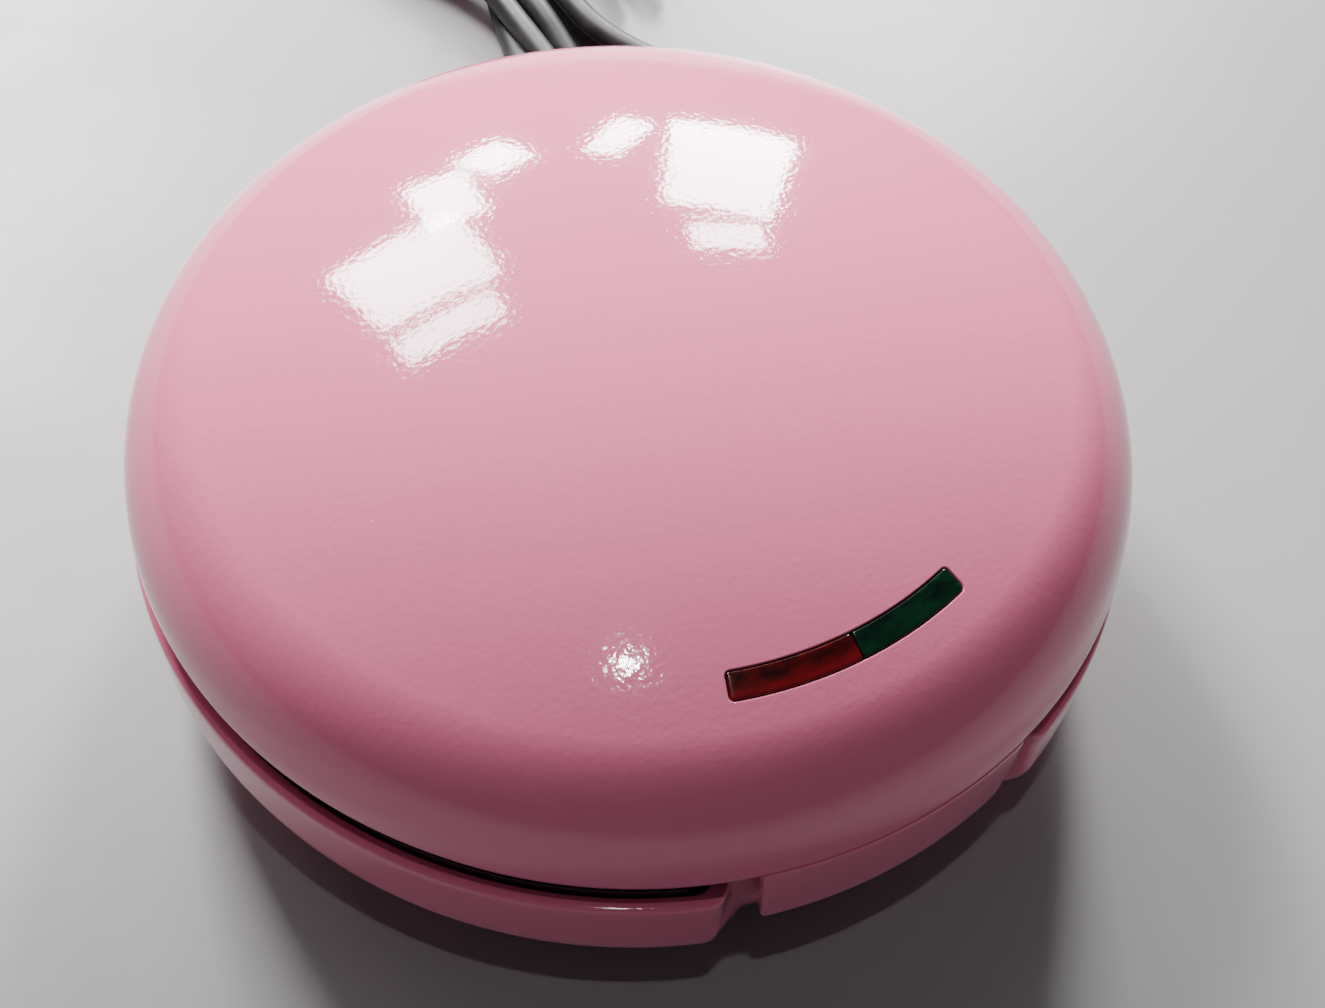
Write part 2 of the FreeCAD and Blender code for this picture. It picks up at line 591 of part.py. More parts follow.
def make_lid_housing():
    lid = new_body("lid_shell")
    inner_shoulder = "(shoulder_radius - lid_wall)"
    ledge_low = depth(LID, "frame_depth")
    ledge_high = f"{ledge_low} + ledge_depth"

    def shoulder_at(height, radius):
        return f"shoulder_reach + sqrt({radius}^2 - (widest_height - ({height}))^2)"

    def join(inset):
        share = f"(shoulder_radius - {inset}) / crown_to_shoulder"
        return (f"shoulder_reach * (1 + {share})",
                f"widest_height + (widest_height - crown_centre) * {share}")

    edge_top = "lid_edge_height + lid_edge_round"
    outer_edge = shoulder_at(edge_top, "shoulder_radius")
    section = draw(lid, "XZ_Plane", "lid_section", [
        ("0", "total_height", "crown_radius", "right"),
        (*join("0"), "shoulder_radius", "right"),
        (outer_edge, edge_top, "lid_edge_round", "right"),
        (f"{outer_edge} - lid_edge_round", "lid_edge_height"),
        ("edge_inner_radius", "lid_edge_height", inner_shoulder, "left"),
        (shoulder_at(ledge_low, inner_shoulder), ledge_low),
        ("lid_frame_radius - lid_ledge_width", ledge_low),
        ("lid_frame_radius - lid_ledge_width", ledge_high),
        (shoulder_at(ledge_high, inner_shoulder), ledge_high, inner_shoulder, "left"),
        (*join("lid_wall"), "crown_radius - lid_wall", "left"),
        ("0", "total_height - lid_wall"),
    ])
    revolve(lid, section, "lid_turned")

    tab_face = "lid_radius - tab_inset"
    tab_root = "lid_edge_height + 2 * lid_edge_round"
    tab = draw(lid, "YZ_Plane", "tab_section", [
        (f"-({tab_face})", tab_root),
        (f"-({tab_face})", "tab_bottom"),
        (f"-({tab_face} - tab_thickness)", "tab_bottom"),
        (f"-({tab_face} - tab_thickness)", tab_root),
    ])
    revolve(lid, tab, "grip_tab", turn="2 * tab_half_angle", both_ways=True)

    post_foot = depth(LID, "post_depth")
    post = draw_circle(lid, "XY_Plane", "lid_post_circle", "0", "screw_circle", "lug_radius",
                       lift=post_foot)
    posts = extrude(lid, post, "lid_post", f"total_height - ({post_foot})")
    pilot = draw_circle(lid, "XY_Plane", "lid_pilot_circle", "0", "screw_circle",
                        "screw_radius + screw_fit", lift=f"{post_foot} - 1")
    bore = extrude(lid, pilot, "lid_pilot", "screw_bite + 2", cut=True)
    repeat(lid, [posts, bore], "lid_posts", 3)
    outside = draw(lid, "XZ_Plane", "outside_section", [
        ("0", "total_height", "crown_radius", "right"),
        (*join("0"), "shoulder_radius", "right"),
        ("lid_radius", "widest_height"),
        ("lid_radius + 20", "widest_height"),
        ("lid_radius + 20", "total_height + 20"),
        ("0", "total_height + 20"),
    ])
    revolve(lid, outside, "dome_trim", cut=True)

    arm = draw(lid, "YZ_Plane", "arm_outline", [
        ("rim_radius - rim_width", "widest_height + knuckle_radius"),
        ("rim_radius - rim_width", "lid_edge_height + 0.5"),
        ("hinge_reach", "hinge_height - 1"),
        ("hinge_reach + 1", "hinge_height + knuckle_radius - 0.5"),
    ])
    extrude(lid, arm, "arm", "2 * knuckle_half_width", both_ways=True)
    knuckle = draw_circle(lid, "YZ_Plane", "knuckle_circle", "hinge_reach", "hinge_height",
                          "knuckle_radius")
    extrude(lid, knuckle, "knuckle", "2 * knuckle_half_width", both_ways=True)
    hole = draw_circle(lid, "YZ_Plane", "knuckle_bore_circle", "hinge_reach",
                       "hinge_height", "pin_radius + pin_clearance")
    extrude(lid, hole, "knuckle_bore", "2 * hinge_half_width", both_ways=True, cut=True)

    floor_line, roof_line = "total_height - 35", "total_height + 5"
    slot = draw(lid, "YZ_Plane", "lens_slot_section", [
        ("-lens_outer_radius", floor_line), ("-lens_inner_radius", floor_line),
        ("-lens_inner_radius", roof_line), ("-lens_outer_radius", roof_line),
    ])
    for name, span, flipped in (("red", "red_span", True), ("green", "green_span", False)):
        before = lid.Shape.Volume
        slit = lid.newObject("PartDesign::Groove", f"{name}_slot")
        slit.Profile = slot
        slit.ReferenceAxis = (slot, ["V_Axis"])
        slit.Reversed = flipped
        slit.setExpression("Angle", full(span))
        settle(lid, slit, before)
    return keep(lid, "lid_housing")


def make_lens(label, span, flipped):
    """One lens: a short stretch of the dome's crown, with a flange behind the wall."""
    lens = new_body(label + "_body")
    inner, outer = "lens_inner_radius + lens_fit", "lens_outer_radius - lens_fit"
    wide_inner, wide_outer = "lens_inner_radius - lens_flange", "lens_outer_radius + lens_flange"
    shelf = "lid_wall + 0.1"
    back = "lid_wall + 0.1 + lens_flange_thickness"
    section = draw(lens, "YZ_Plane", label + "_section", [
        (f"-({outer})", crown_at(outer, "lens_sunk"), "crown_radius - lens_sunk", "right"),
        (f"-({inner})", crown_at(inner, "lens_sunk")),
        (f"-({inner})", crown_at(inner, shelf)),
        (f"-({wide_inner})", crown_at(wide_inner, shelf)),
        (f"-({wide_inner})", crown_at(wide_inner, back), f"crown_radius - ({back})", "left"),
        (f"-({wide_outer})", crown_at(wide_outer, back)),
        (f"-({wide_outer})", crown_at(wide_outer, shelf)),
        (f"-({outer})", crown_at(outer, shelf)),
    ])
    turned = lens.newObject("PartDesign::Revolution", label + "_turned")
    turned.Profile = section
    turned.ReferenceAxis = (section, ["V_Axis"])
    turned.Reversed = flipped
    turned.setExpression("Angle", full(f"{span} - lens_gap"))
    doc.recompute()
    return keep(lens, label, turn="-lens_gap / 2" if flipped else "lens_gap / 2")


# ------------------------------------------------- plates and their frames

def ring_section(side, radius, centre):
    """Half disc under (or over) the parting plane, as two quarter arcs."""
    turn = "right" if side == LID else "left"
    face = depth(side, "plate_face")
    return [
        (f"{centre} - {radius}", face, radius, turn),
        (centre, depth(side, f"plate_face + {radius}"), radius, turn),
        (f"{centre} + {radius}", face),
    ]


def make_plate(side, label):
    """Cast plate: flat web, seven ring cups with hollow posts, and three screw lugs."""
    plate = new_body(label + "_body")
    web = draw(plate, "XZ_Plane", label + "_web", [
        ("0", depth(side, "plate_face")),
        ("plate_radius", depth(side, "plate_face")),
        ("plate_radius", depth(side, "flange_depth")),
        ("0", depth(side, "flange_depth")),
    ])
    revolve(plate, web, label + "_disc")
    middle = "ring_middle"
    cup = draw(plate, "XZ_Plane", label + "_cup_section",
               ring_section(side, "cup_radius", middle))
    revolve(plate, cup, label + "_middle_cup")
    centre = "ring_pitch + ring_middle"
    axis = (("ring_pitch", "0"), ("ring_pitch", "10"))
    cup = draw(plate, "XZ_Plane", label + "_outer_cup_section",
               ring_section(side, "cup_radius", centre), axis=axis)
    cups = revolve(plate, cup, label + "_outer_cup", own_axis=True)
    lug_foot = depth(side, "flange_depth - 1" if side == LID else "shield_depth")
    lug = draw_circle(plate, "XY_Plane", label + "_lug_circle", "0", "screw_circle",
                      "lug_radius", lift=lug_foot)
    lugs = extrude(plate, lug, label + "_lug", "shield_depth - flange_depth + 1")
    repeat(plate, [cups], label + "_cups", 6)
    repeat(plate, [lugs], label + "_lugs", 3)
    hollow = draw(plate, "XZ_Plane", label + "_ring_section",
                  ring_section(side, "ring_bore", middle))
    revolve(plate, hollow, label + "_middle_ring", cut=True)
    hollow = draw(plate, "XZ_Plane", label + "_outer_ring_section",
                  ring_section(side, "ring_bore", centre), axis=axis)
    rings = revolve(plate, hollow, label + "_outer_ring", own_axis=True, cut=True)
    repeat(plate, [rings], label + "_rings", 6)
    if side == LID:
        bores = (("screw_radius + screw_pass", "plate_face - 1", "shield_depth + 2"),
                 ("screw_head_radius + screw_pass", "plate_face - 1",
                  "screw_head_height + 1.3"))
    else:
        bores = (("screw_radius + screw_fit", "shield_depth + 1", "screw_bite + 1"),)
    for index, (radius, start, length) in enumerate(bores):
        circle = draw_circle(plate, "XY_Plane", f"{label}_bore_circle_{index}", "0",
                             "screw_circle", radius, lift=depth(side, start))
        bore = extrude(plate, circle, f"{label}_bore_{index}", length, cut=True)
        repeat(plate, [bore], f"{label}_bores_{index}", 3)
    return keep(plate, label)


def make_frame(side, label, outer):
    """Heat-resistant ring between a plate and its housing."""
    frame = new_body(label + "_body")
    lip = "frame_setback + frame_wall"
    step = "flange_depth + frame_wall"
    section = draw(frame, "XZ_Plane", label + "_section", [
        ("frame_inner_radius", depth(side, "frame_setback")),
        (outer, depth(side, "frame_setback")),
        (outer, depth(side, "frame_depth")),
        (f"{outer} - frame_wall", depth(side, "frame_depth")),
        (f"{outer} - frame_wall", depth(side, lip)),
        ("frame_inner_radius + frame_wall", depth(side, lip)),
        ("frame_inner_radius + frame_wall", depth(side, step)),
        ("plate_radius - frame_step", depth(side, step)),
        ("plate_radius - frame_step", depth(side, "flange_depth")),
        ("frame_inner_radius", depth(side, "flange_depth")),
    ])
    revolve(frame, section, label + "_ring")
    if side == BASE:
        inner = "recess_inner - frame_clearance"
        relief = draw(frame, "YZ_Plane", label + "_relief_section", [
            (f"-({inner})", depth(side, "frame_depth + 1")),
            (f"-({outer} + 2)", depth(side, "frame_depth + 1")),
            (f"-({outer} + 2)", "parting_height"),
            (f"-({inner})", "parting_height"),
        ])
        revolve(frame, relief, label + "_relief", both_ways=True, cut=True,
                turn="2 * (recess_half_angle + recess_side_angle) + 1")
    return keep(frame, label)


def make_element(side, label):
    """Tubular heating element: an open ring with two legs."""
    ring = doc.addObject("Part::Torus", label + "_ring")
    bind(ring, z=depth(side, "element_depth"), Radius1="ring_pitch",
         Radius2="element_radius", Angle3="360 - 2 * element_leg_angle")
    ring.Placement.Rotation = Rotation(Vector(0, 0, 1), 90 + size("element_leg_angle"))
    ring.setExpression("Placement.Rotation.Angle", full("90 + element_leg_angle"))
    foot = "element_depth" if side == LID else "element_depth + element_leg_length"
    legs = []
    for sign, name in (("-", "right"), ("+", "left")):
        angle = f"(90 {sign} element_leg_angle)"
        place = (f"ring_pitch * cos{angle}", f"ring_pitch * sin{angle}", depth(side, foot))
        legs.append(cylinder(f"{label}_{name}_leg", place, "element_leg_radius",
                             "element_leg_length"))
    return keep(fuse(label + "_joined", [ring] + legs), label)


def make_shield(side, label):
    """Thin disc between the element and the housing, clamped by the screws."""
    shield = new_body(label + "_body")
    low = depth(side, "shield_depth" if side == LID else "post_depth")
    rim = draw_circle(shield, "XY_Plane", label + "_circle", "0", "0",
                      "plate_radius - shield_inset", lift=low)
    extrude(shield, rim, label + "_disc", "shield_thickness")
    hole = draw_circle(shield, "XY_Plane", label + "_screw_circle", "0", "screw_circle",
                       "screw_radius + screw_pass", lift=f"{low} - 1")
    bore = extrude(shield, hole, label + "_screw_hole", "shield_thickness + 2", cut=True)
    repeat(shield, [bore], label + "_screw_holes", 3)
    for sign, name in (("-", "right"), ("+", "left")):
        angle = f"(90 {sign} element_leg_angle)"
        hole = draw_circle(shield, "XY_Plane", f"{label}_{name}_leg_circle",
                           f"ring_pitch * cos{angle}", f"ring_pitch * sin{angle}",
                           "element_leg_radius + leg_clearance", lift=f"{low} - 1")
        extrude(shield, hole, f"{label}_{name}_leg_hole", "shield_thickness + 2", cut=True)
    return keep(shield, label)


def make_screws(side, label):
    """Three plate screws on one circle, each turned about its own axis."""
    screws = new_body(label + "_body")
    if side == LID:
        head_low = depth(LID, "plate_face + 0.1")
        head_high = depth(LID, "plate_face + 0.1 + screw_head_height")
        tip = depth(LID, "post_depth + screw_bite")
    else:
        head_low = "floor_height + base_screw_recess"
        head_high = "floor_height + base_screw_recess + screw_head_height"
        tip = depth(BASE, "shield_depth - screw_bite + 0.5")
    section = draw(screws, "XZ_Plane", label + "_section", [
        ("screw_circle", head_low),
        ("screw_circle + screw_head_radius", head_low),
        ("screw_circle + screw_head_radius", head_high),
        ("screw_circle + screw_radius", head_high),
        ("screw_circle + screw_radius", tip),
        ("screw_circle", tip),
    ], axis=(("screw_circle", "0"), ("screw_circle", "10")))
    one = revolve(screws, section, label + "_screw", own_axis=True)
    repeat(screws, [one], label + "_set", 3)
    return keep(screws, label, turn="90")


# ------------------------------------------------------- hinge and feet

def make_hinge_pin():
    pin = cylinder("pin_rod", ("-hinge_half_width", "hinge_reach", "hinge_height"),
                   "pin_radius", "2 * hinge_half_width", (1, 0, 0))
    return keep(group("pin_whole", [pin]), "hinge_pin")


def make_feet():
    feet = new_body("feet_body")
    section = draw(feet, "XZ_Plane", "foot_section", [
        ("foot_circle", "0"),
        ("foot_circle + foot_radius - 1", "0"),
        ("foot_circle + foot_radius", "1"),
        ("foot_circle + foot_radius", "floor_height"),
        ("foot_circle + stem_radius", "floor_height"),
        ("foot_circle + stem_radius", "inner_floor_height"),
        ("foot_circle", "inner_floor_height"),
    ], axis=(("foot_circle", "0"), ("foot_circle", "10")))
    one = revolve(feet, section, "foot", own_axis=True)
    repeat(feet, [one], "feet_set", 4)
    return keep(feet, "rubber_feet", turn="45")


# ------------------------------------------------- electrical pieces, base

BLOCK = {"x": -42, "y": 58, "width": 30, "length": 14, "height": 12, "pitch": 9}
WIRE_RADIUS = 1.1


def make_terminal_block():
    top = f"inner_floor_height + {BLOCK['height']}"
    low = (BLOCK["x"] - BLOCK["width"] / 2, BLOCK["y"] - BLOCK["length"] / 2,
           "inner_floor_height")
    high = (BLOCK["x"] + BLOCK["width"] / 2, BLOCK["y"] + BLOCK["length"] / 2, top)
    block = box("block_body", low, high)
    holes, screws = [], []
    for step in (-1, 0, 1):
        x = BLOCK["x"] + step * BLOCK["pitch"]
        holes.append(cylinder(f"wire_hole_{step + 1}", (x, BLOCK["y"], "inner_floor_height + 6"),
                              "2", str(BLOCK["length"]), (0, 1, 0)))
        holes.append(cylinder(f"screw_hole_{step + 1}", (x, BLOCK["y"] + 3, f"{top} - 4"),
                              "1.6", "5"))
        screws.append(cylinder(f"terminal_screw_{step + 1}", (x, BLOCK["y"] + 3, f"{top} - 4"),
                               "1.5", "3.4"))
    keep(cut("block_drilled", block, fuse("block_holes", holes)), "terminal_block")
    keep(group("terminal_screw_set", screws), "terminal_screws")


def make_cord_clamp():
    """Saddle over the lead, drawn straight behind the axis and turned to the exit."""
    front, back = "clamp_circle - 4", "clamp_circle + 4"
    top = "cord_exit_height + cord_radius + 2"
    ear_top = "inner_floor_height + clamp_ear_height"
    saddle = fuse("clamp_solid", [
        box("clamp_middle", ("-6", front, "inner_floor_height"), ("6", back, top)),
        box("clamp_ears", ("-13", front, "inner_floor_height"), ("13", back, ear_top)),
    ])
    holes = [cylinder("clamp_channel", ("0", "clamp_circle - 6", "cord_exit_height"),
                      "cord_radius + gland_fit", "12", (0, 1, 0))]
    screws = []
    for side in ("-", "+"):
        place = f"0 {side} clamp_screw_spread"
        name = "left" if side == "-" else "right"
        holes.append(cylinder(f"clamp_hole_{name}", (place, "clamp_circle", "floor_height"),
                              "screw_radius + screw_pass", "20"))
        shank = cylinder(f"clamp_shank_{name}", (place, "clamp_circle", "floor_height + 1.2"),
                         "screw_radius", f"{ear_top} - floor_height - 0.7")
        head = cylinder(f"clamp_head_{name}", (place, "clamp_circle", ear_top),
                        "screw_head_radius", "screw_head_height")
        screws.append(fuse(f"clamp_screw_{name}", [shank, head]))
    turn = "-cord_exit_angle"
    keep(cut("clamp_drilled", saddle, fuse("clamp_holes", holes)), "cord_clamp", turn=turn)
    keep(group("clamp_screw_set", screws), "clamp_screws", turn=turn)


def make_strain_relief():
    relief = new_body("relief_body")

    def out(radius):
        return f"cord_exit_height + {radius}"

    bore = "cord_radius + gland_fit"
    flange = "gland_neck_radius + gland_flange"
    section = draw(relief, "YZ_Plane", "relief_section", [
        ("boss_face - boss_wall - 2", out(bore)),
        ("boss_face - boss_wall - 2", out(flange)),
        ("boss_face - boss_wall", out(flange)),
        ("boss_face - boss_wall", out("gland_neck_radius")),
        ("boss_face", out("gland_neck_radius")),
        ("boss_face", out("gland_collar_radius")),
        ("boss_face + gland_collar_length", out("gland_collar_radius")),
        ("boss_face + gland_collar_length", out("gland_collar_radius - 1.2")),
        ("gland_tip", out("cord_radius + gland_tip_wall")),
        ("gland_tip", out(bore)),
    ], axis=(("0", "cord_exit_height"), ("10", "cord_exit_height")))
    revolve(relief, section, "relief_turned", own_axis=True)
    return keep(relief, "strain_relief", turn="-cord_exit_angle")


def make_inner_lead():
    """Stretch of the mains lead inside the base, from the strain relief to the block."""
    exit_angle = 90 - size("cord_exit_angle")
    level = size("cord_exit_height")
    lying = size("inner_floor_height") + size("cord_radius") + 0.1
    entry = size("inner_floor_height") + 6
    face = BLOCK["y"] - BLOCK["length"] / 2
    route = [
        around(size("cord_start"), exit_angle, level),
        around(size("clamp_circle") - 14, exit_angle, level),
        (26, 48, level - 1.5),
        (19, 34, lying),
        (2, 26, lying),
        (-18, 25, lying),
        (-35, 28, lying),
        (BLOCK["x"], face - 9, entry),
        (BLOCK["x"], face, entry),
    ]
    solid, length, radii = tube(route, size("cord_radius"))
    return keep(from_shape("inner_lead_tube", solid), "inner_lead")


def make_base_wiring():
    """Two leads from the block to the element's legs, and the feed towards the hinge."""
    back = BLOCK["y"] + BLOCK["length"] / 2
    entry = size("inner_floor_height") + 6
    leg_end = size(depth(BASE, "element_depth + element_leg_length"))
    legs = {}
    for side in (-1, 1):
        angle = 90 - side * size("element_leg_angle")
        legs[side] = around(size("ring_pitch"), angle, leg_end)
    left, right = legs[-1], legs[1]
    low = size("inner_floor_height") + 3
    routes = [
        [(-51, back, entry), (-50, back + 8, entry), (-34, back + 9, entry - 1),
         (left[0] - 4, left[1] + 8, low), (left[0], left[1], low), left],
        [(-42, back, entry), (-39, back + 4, entry - 2), (-14, back + 2, low - 0.5),
         (8, back + 1, low - 0.5), (right[0], right[1], low), right],
        [(-33, back, entry), (-32, back + 12, entry + 1), (-24, back + 27, 24),
         (-12, back + 32, 31), (-9, back + 33, 37)],
    ]
    wires = [from_shape(f"base_wire_{index}", tube(route, WIRE_RADIUS)[0])
             for index, route in enumerate(routes)]
    return keep(group("base_wire_set", wires), "base_wiring")


# -------------------------------------------------- electrical pieces, lid

THERMOSTAT = {"x": -30, "y": 0, "radius": 8, "height": 9}


def make_thermostat():
    seat = depth(LID, "post_depth")
    x, y = THERMOSTAT["x"], THERMOSTAT["y"]
    top = f"{seat} + {THERMOSTAT['height']}"
    flange = cylinder("thermostat_flange", (x, y, seat), "11", "1.2")
    can = cylinder("thermostat_can", (x, y, seat), str(THERMOSTAT["radius"]),
                   str(THERMOSTAT["height"]))
    tags = [box(f"thermostat_tag_{index}", (x + at - 0.4, y - 3, f"{top} - 1"),
                (x + at + 0.4, y + 3, f"{top} + 5")) for index, at in enumerate((-5, 5))]
    return keep(fuse("thermostat_joined", [flange, can] + tags), "thermostat")


def make_thermal_fuse():
    level = f"{depth(LID, 'post_depth')} + 2.4"
    sleeve = cylinder("fuse_sleeve", ("16", "12", level), "2.3", "26", (1, 0, 0))
    leads = cylinder("fuse_leads", ("10", "12", level), "0.7", "38", (1, 0, 0))
    return keep(fuse("fuse_joined", [sleeve, leads]), "thermal_fuse")


def make_lamp_holder():
    """Curved tray under the lenses, standing on the upper heat shield."""
    holder = new_body("holder_body")
    seat = depth(LID, "post_depth")
    inner, outer = "lens_inner_radius - 2.4", "lens_outer_radius + 2.1"
    section = draw(holder, "YZ_Plane", "holder_section", [
        (f"-({outer})", seat),
        (f"-({inner})", seat),
        (f"-({inner})", f"{seat} + 8"),
        (f"-({inner} + 1.4)", f"{seat} + 8"),
        (f"-({inner} + 1.4)", f"{seat} + 3"),
        (f"-({outer} - 1.4)", f"{seat} + 3"),
        (f"-({outer} - 1.4)", f"{seat} + 8"),
        (f"-({outer})", f"{seat} + 8"),
    ])
    revolve(holder, section, "holder_tray", turn="red_span + green_span", both_ways=True)
    return keep(holder, "lamp_holder")


def make_lamp(label, turn):
    level = f"{depth(LID, 'post_depth')} + 3.05 + lamp_radius"
    middle = "-(lens_inner_radius + lens_outer_radius) / 2"
    bulb = cylinder(label + "_bulb", ("-lamp_length / 2", middle, level), "lamp_radius",
                    "lamp_length", (1, 0, 0))
    leads = cylinder(label + "_leads", ("-lamp_length / 2 - 1.5", middle, level), "0.5",
                     "lamp_length + 3", (1, 0, 0))
    return keep(fuse(label + "_joined", [bulb, leads]), label, turn=turn)


def make_lid_wiring():
    """Feeds from the hinge side to the element's legs, and the lamps' lead."""
    leg_end = size(depth(LID, "element_depth + element_leg_length"))
    low = size(depth(LID, "frame_depth")) + 1.5
    gap = size("plate_radius") + 3.2
    routes = []
    for side in (-1, 1):
        x, y, z = around(size("ring_pitch"), 90 - side * size("element_leg_angle"), leg_end)
        routes.append([(side * 11, gap, low), (side * 11.5, gap - 0.8, low + 10),
                       (side * 14, gap - 11, z + 2), (side * 15.5, y + 9, z + 4.5),
                       (x, y, z + 4), (x, y, z)])
    seat = size(depth(LID, "post_depth")) + WIRE_RADIUS + 0.1
    tray = -(size("lens_inner_radius") - 2.5)
    routes.append([(-8, tray + 0.6, seat + 2), (-9, tray + 12, seat), (-20, tray + 34, seat),
                   (-24, -26, seat), (-29, -THERMOSTAT["radius"] - 3.2, seat + 0.4)])
    wires = [from_shape(f"lid_wire_{index}", tube(route, WIRE_RADIUS)[0])
             for index, route in enumerate(routes)]
    return keep(group("lid_wire_set", wires), "lid_wiring")


# ------------------------------------------------------------- free cord

CORD_LEVEL = 3.5
CORD_ROUTE = [
    (42.48, 110.71, 17.5),
    (47.95, 125.75, 17.5),
    (53.0, 140.6, 12.6),
    (57.6, 155.4, 6.6),
    (62.0, 170.5, CORD_LEVEL + 0.1),
    (66.3, 184.5, CORD_LEVEL),
]
HANK_HEIGHT = 15.5
HANK_OUTLINE = [
    ("60", "108", "21", "left"),
    ("81", "87", "21", "left"),
    ("102", "108"),
    ("84", "142"),
    ("83.5", "204"),
    ("95", "217"),
    ("95", "226"),
    ("110.5", "226", "32.25", "left"),
    ("78.25", "258.25", "32.25", "left"),
    ("46", "226"),
    ("59.5", "204"),
    ("59.5", "142"),
]
TIE = {"y": 192.5, "width": 7, "left": 58.2, "right": 84.8, "height": 16.9, "strap": 1.3}
PLUG = {"x": 107, "back": 226, "neck": 8, "width": 23, "depth": 15, "length": 34}


def make_cord():
    solid, length, radii = tube(CORD_ROUTE, size("cord_radius"))
    print("cord tube length", round(length, 1), "arc radii", [round(r, 1) for r in radii])
    keep(from_shape("cord_tube", solid), "mains_cord", shifted=False)

    hank = new_body("hank_body")
    outline = draw(hank, "XY_Plane", "hank_outline", HANK_OUTLINE)
    extrude(hank, outline, "hank_block", str(HANK_HEIGHT))
    keep(hank, "cord_hank", shifted=False)

    low, high = TIE["y"], TIE["y"] + TIE["width"]
    strap = TIE["strap"]
    outer = box("tie_outer", (TIE["left"], low, 0), (TIE["right"], high, TIE["height"]))
    inner = box("tie_inner", (TIE["left"] + strap, low - 1, strap),
                (TIE["right"] - strap, high + 1, TIE["height"] - strap))
    keep(cut("tie_loop", outer, inner), "cord_tie", shifted=False)


def make_plug():
    """Two-bladed plug lying beside the hank, its cable end against the hank's far fold."""
    x, back = PLUG["x"], PLUG["back"]
    shoulder = back - PLUG["neck"]
    front = shoulder - PLUG["length"]
    middle = PLUG["depth"] / 2
    neck = cone("plug_neck", (x, shoulder, middle), "5.6", "cord_radius + 1", str(PLUG["neck"]),
                (0, 1, 0))
    grip = box("plug_grip", (x - PLUG["width"] / 2, front, 0),
               (x + PLUG["width"] / 2, shoulder, PLUG["depth"]))
    keep(fuse("plug_solid", [neck, grip]), "plug_body", shifted=False)
    blades = []
    for side in (-1, 1):
        middle_x = x + side * 6.35
        blades.append(box(f"blade_{side + 1}", (middle_x - 0.75, front - 17, middle - 3.2),
                          (middle_x + 0.75, front, middle + 3.2)))
    keep(group("blade_pair", blades), "plug_blades", shifted=False)


# ------------------------------------------------------------- the object

make_base_housing()
make_feet()
make_frame(BASE, "lower_frame", "base_frame_radius")
make_plate(BASE, "lower_plate")
make_element(BASE, "lower_element")
make_shield(BASE, "lower_heat_shield")
make_screws(BASE, "base_screws")
make_terminal_block()
make_cord_clamp()
make_strain_relief()
make_inner_lead()
make_base_wiring()
make_hinge_pin()
make_lid_housing()
make_frame(LID, "upper_frame", "lid_frame_radius")
make_plate(LID, "upper_plate")
make_element(LID, "upper_element")
make_shield(LID, "upper_heat_shield")
make_screws(LID, "lid_screws")
make_thermostat()
make_thermal_fuse()
make_lamp_holder()
make_lamp("red_lamp", "-red_span / 2")
make_lamp("green_lamp", "green_span / 2")
make_lens("red_lens", "red_span", True)
make_lens("green_lens", "green_span", False)
make_lid_wiring()
make_cord()
make_plug()
doc.recompute()

for thing in doc.Objects:
    if "Invalid" in thing.State or "Error" in thing.State:
        raise RuntimeError(f"{thing.Label} failed: {thing.State} {thing.getStatusString()}")
for node in nodes:
    if node.Shape.isNull() or not node.Shape.isValid():
        raise RuntimeError(f"{node.Label} has no valid shape")

os.makedirs("parts", exist_ok=True)
for node in nodes:
    node.Shape.exportStep(f"parts/{node.Label}.step")
    print(f"{node.Label:20s} solids {len(node.Shape.Solids)}  volume {node.Shape.Volume:10.1f}")
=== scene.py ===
"""Looks of the mini donut maker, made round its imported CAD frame.

Blender works in metres. Shapes here are worked out in millimetres about the dome's own
vertical axis, with angles from the front towards +X, and place() puts them in the frame.
"""
import bmesh
import bpy
import json
from math import (acos, asin, atan2, copysign, cos, hypot, pi, radians, sin, sqrt,
                  tan)
from mathutils import Matrix, Vector


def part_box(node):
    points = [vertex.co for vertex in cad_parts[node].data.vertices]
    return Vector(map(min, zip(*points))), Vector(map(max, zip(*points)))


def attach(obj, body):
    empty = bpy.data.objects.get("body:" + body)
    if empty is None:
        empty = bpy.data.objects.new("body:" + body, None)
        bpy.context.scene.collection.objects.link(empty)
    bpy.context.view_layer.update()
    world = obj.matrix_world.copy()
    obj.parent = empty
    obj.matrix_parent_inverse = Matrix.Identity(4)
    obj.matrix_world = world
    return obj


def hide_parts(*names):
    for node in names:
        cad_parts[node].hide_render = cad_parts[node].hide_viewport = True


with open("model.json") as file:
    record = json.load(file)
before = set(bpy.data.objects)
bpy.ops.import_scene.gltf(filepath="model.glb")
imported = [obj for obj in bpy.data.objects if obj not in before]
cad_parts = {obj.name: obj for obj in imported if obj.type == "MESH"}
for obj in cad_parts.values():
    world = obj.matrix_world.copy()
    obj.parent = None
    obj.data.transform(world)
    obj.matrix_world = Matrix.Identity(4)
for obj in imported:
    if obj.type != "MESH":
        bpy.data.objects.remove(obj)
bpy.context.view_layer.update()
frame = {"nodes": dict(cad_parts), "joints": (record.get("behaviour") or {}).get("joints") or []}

# ---- sizes

MM = 0.001
LID_LOW, LID_HIGH = [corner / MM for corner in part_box("lid_housing")]
BASE_LOW, BASE_HIGH = [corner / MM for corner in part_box("base_housing")]
LID_RADIUS = LID_HIGH.x
TOP = LID_HIGH.z
TAB_BOTTOM = LID_LOW.z
AXIS_Y = LID_LOW.y + LID_RADIUS
RIM_RADIUS = BASE_HIGH.x
FLOOR_HEIGHT = BASE_LOW.z
HINGE = Vector(frame["joints"][0]["pos_m"]) / MM - Vector((0, AXIS_Y, 0))

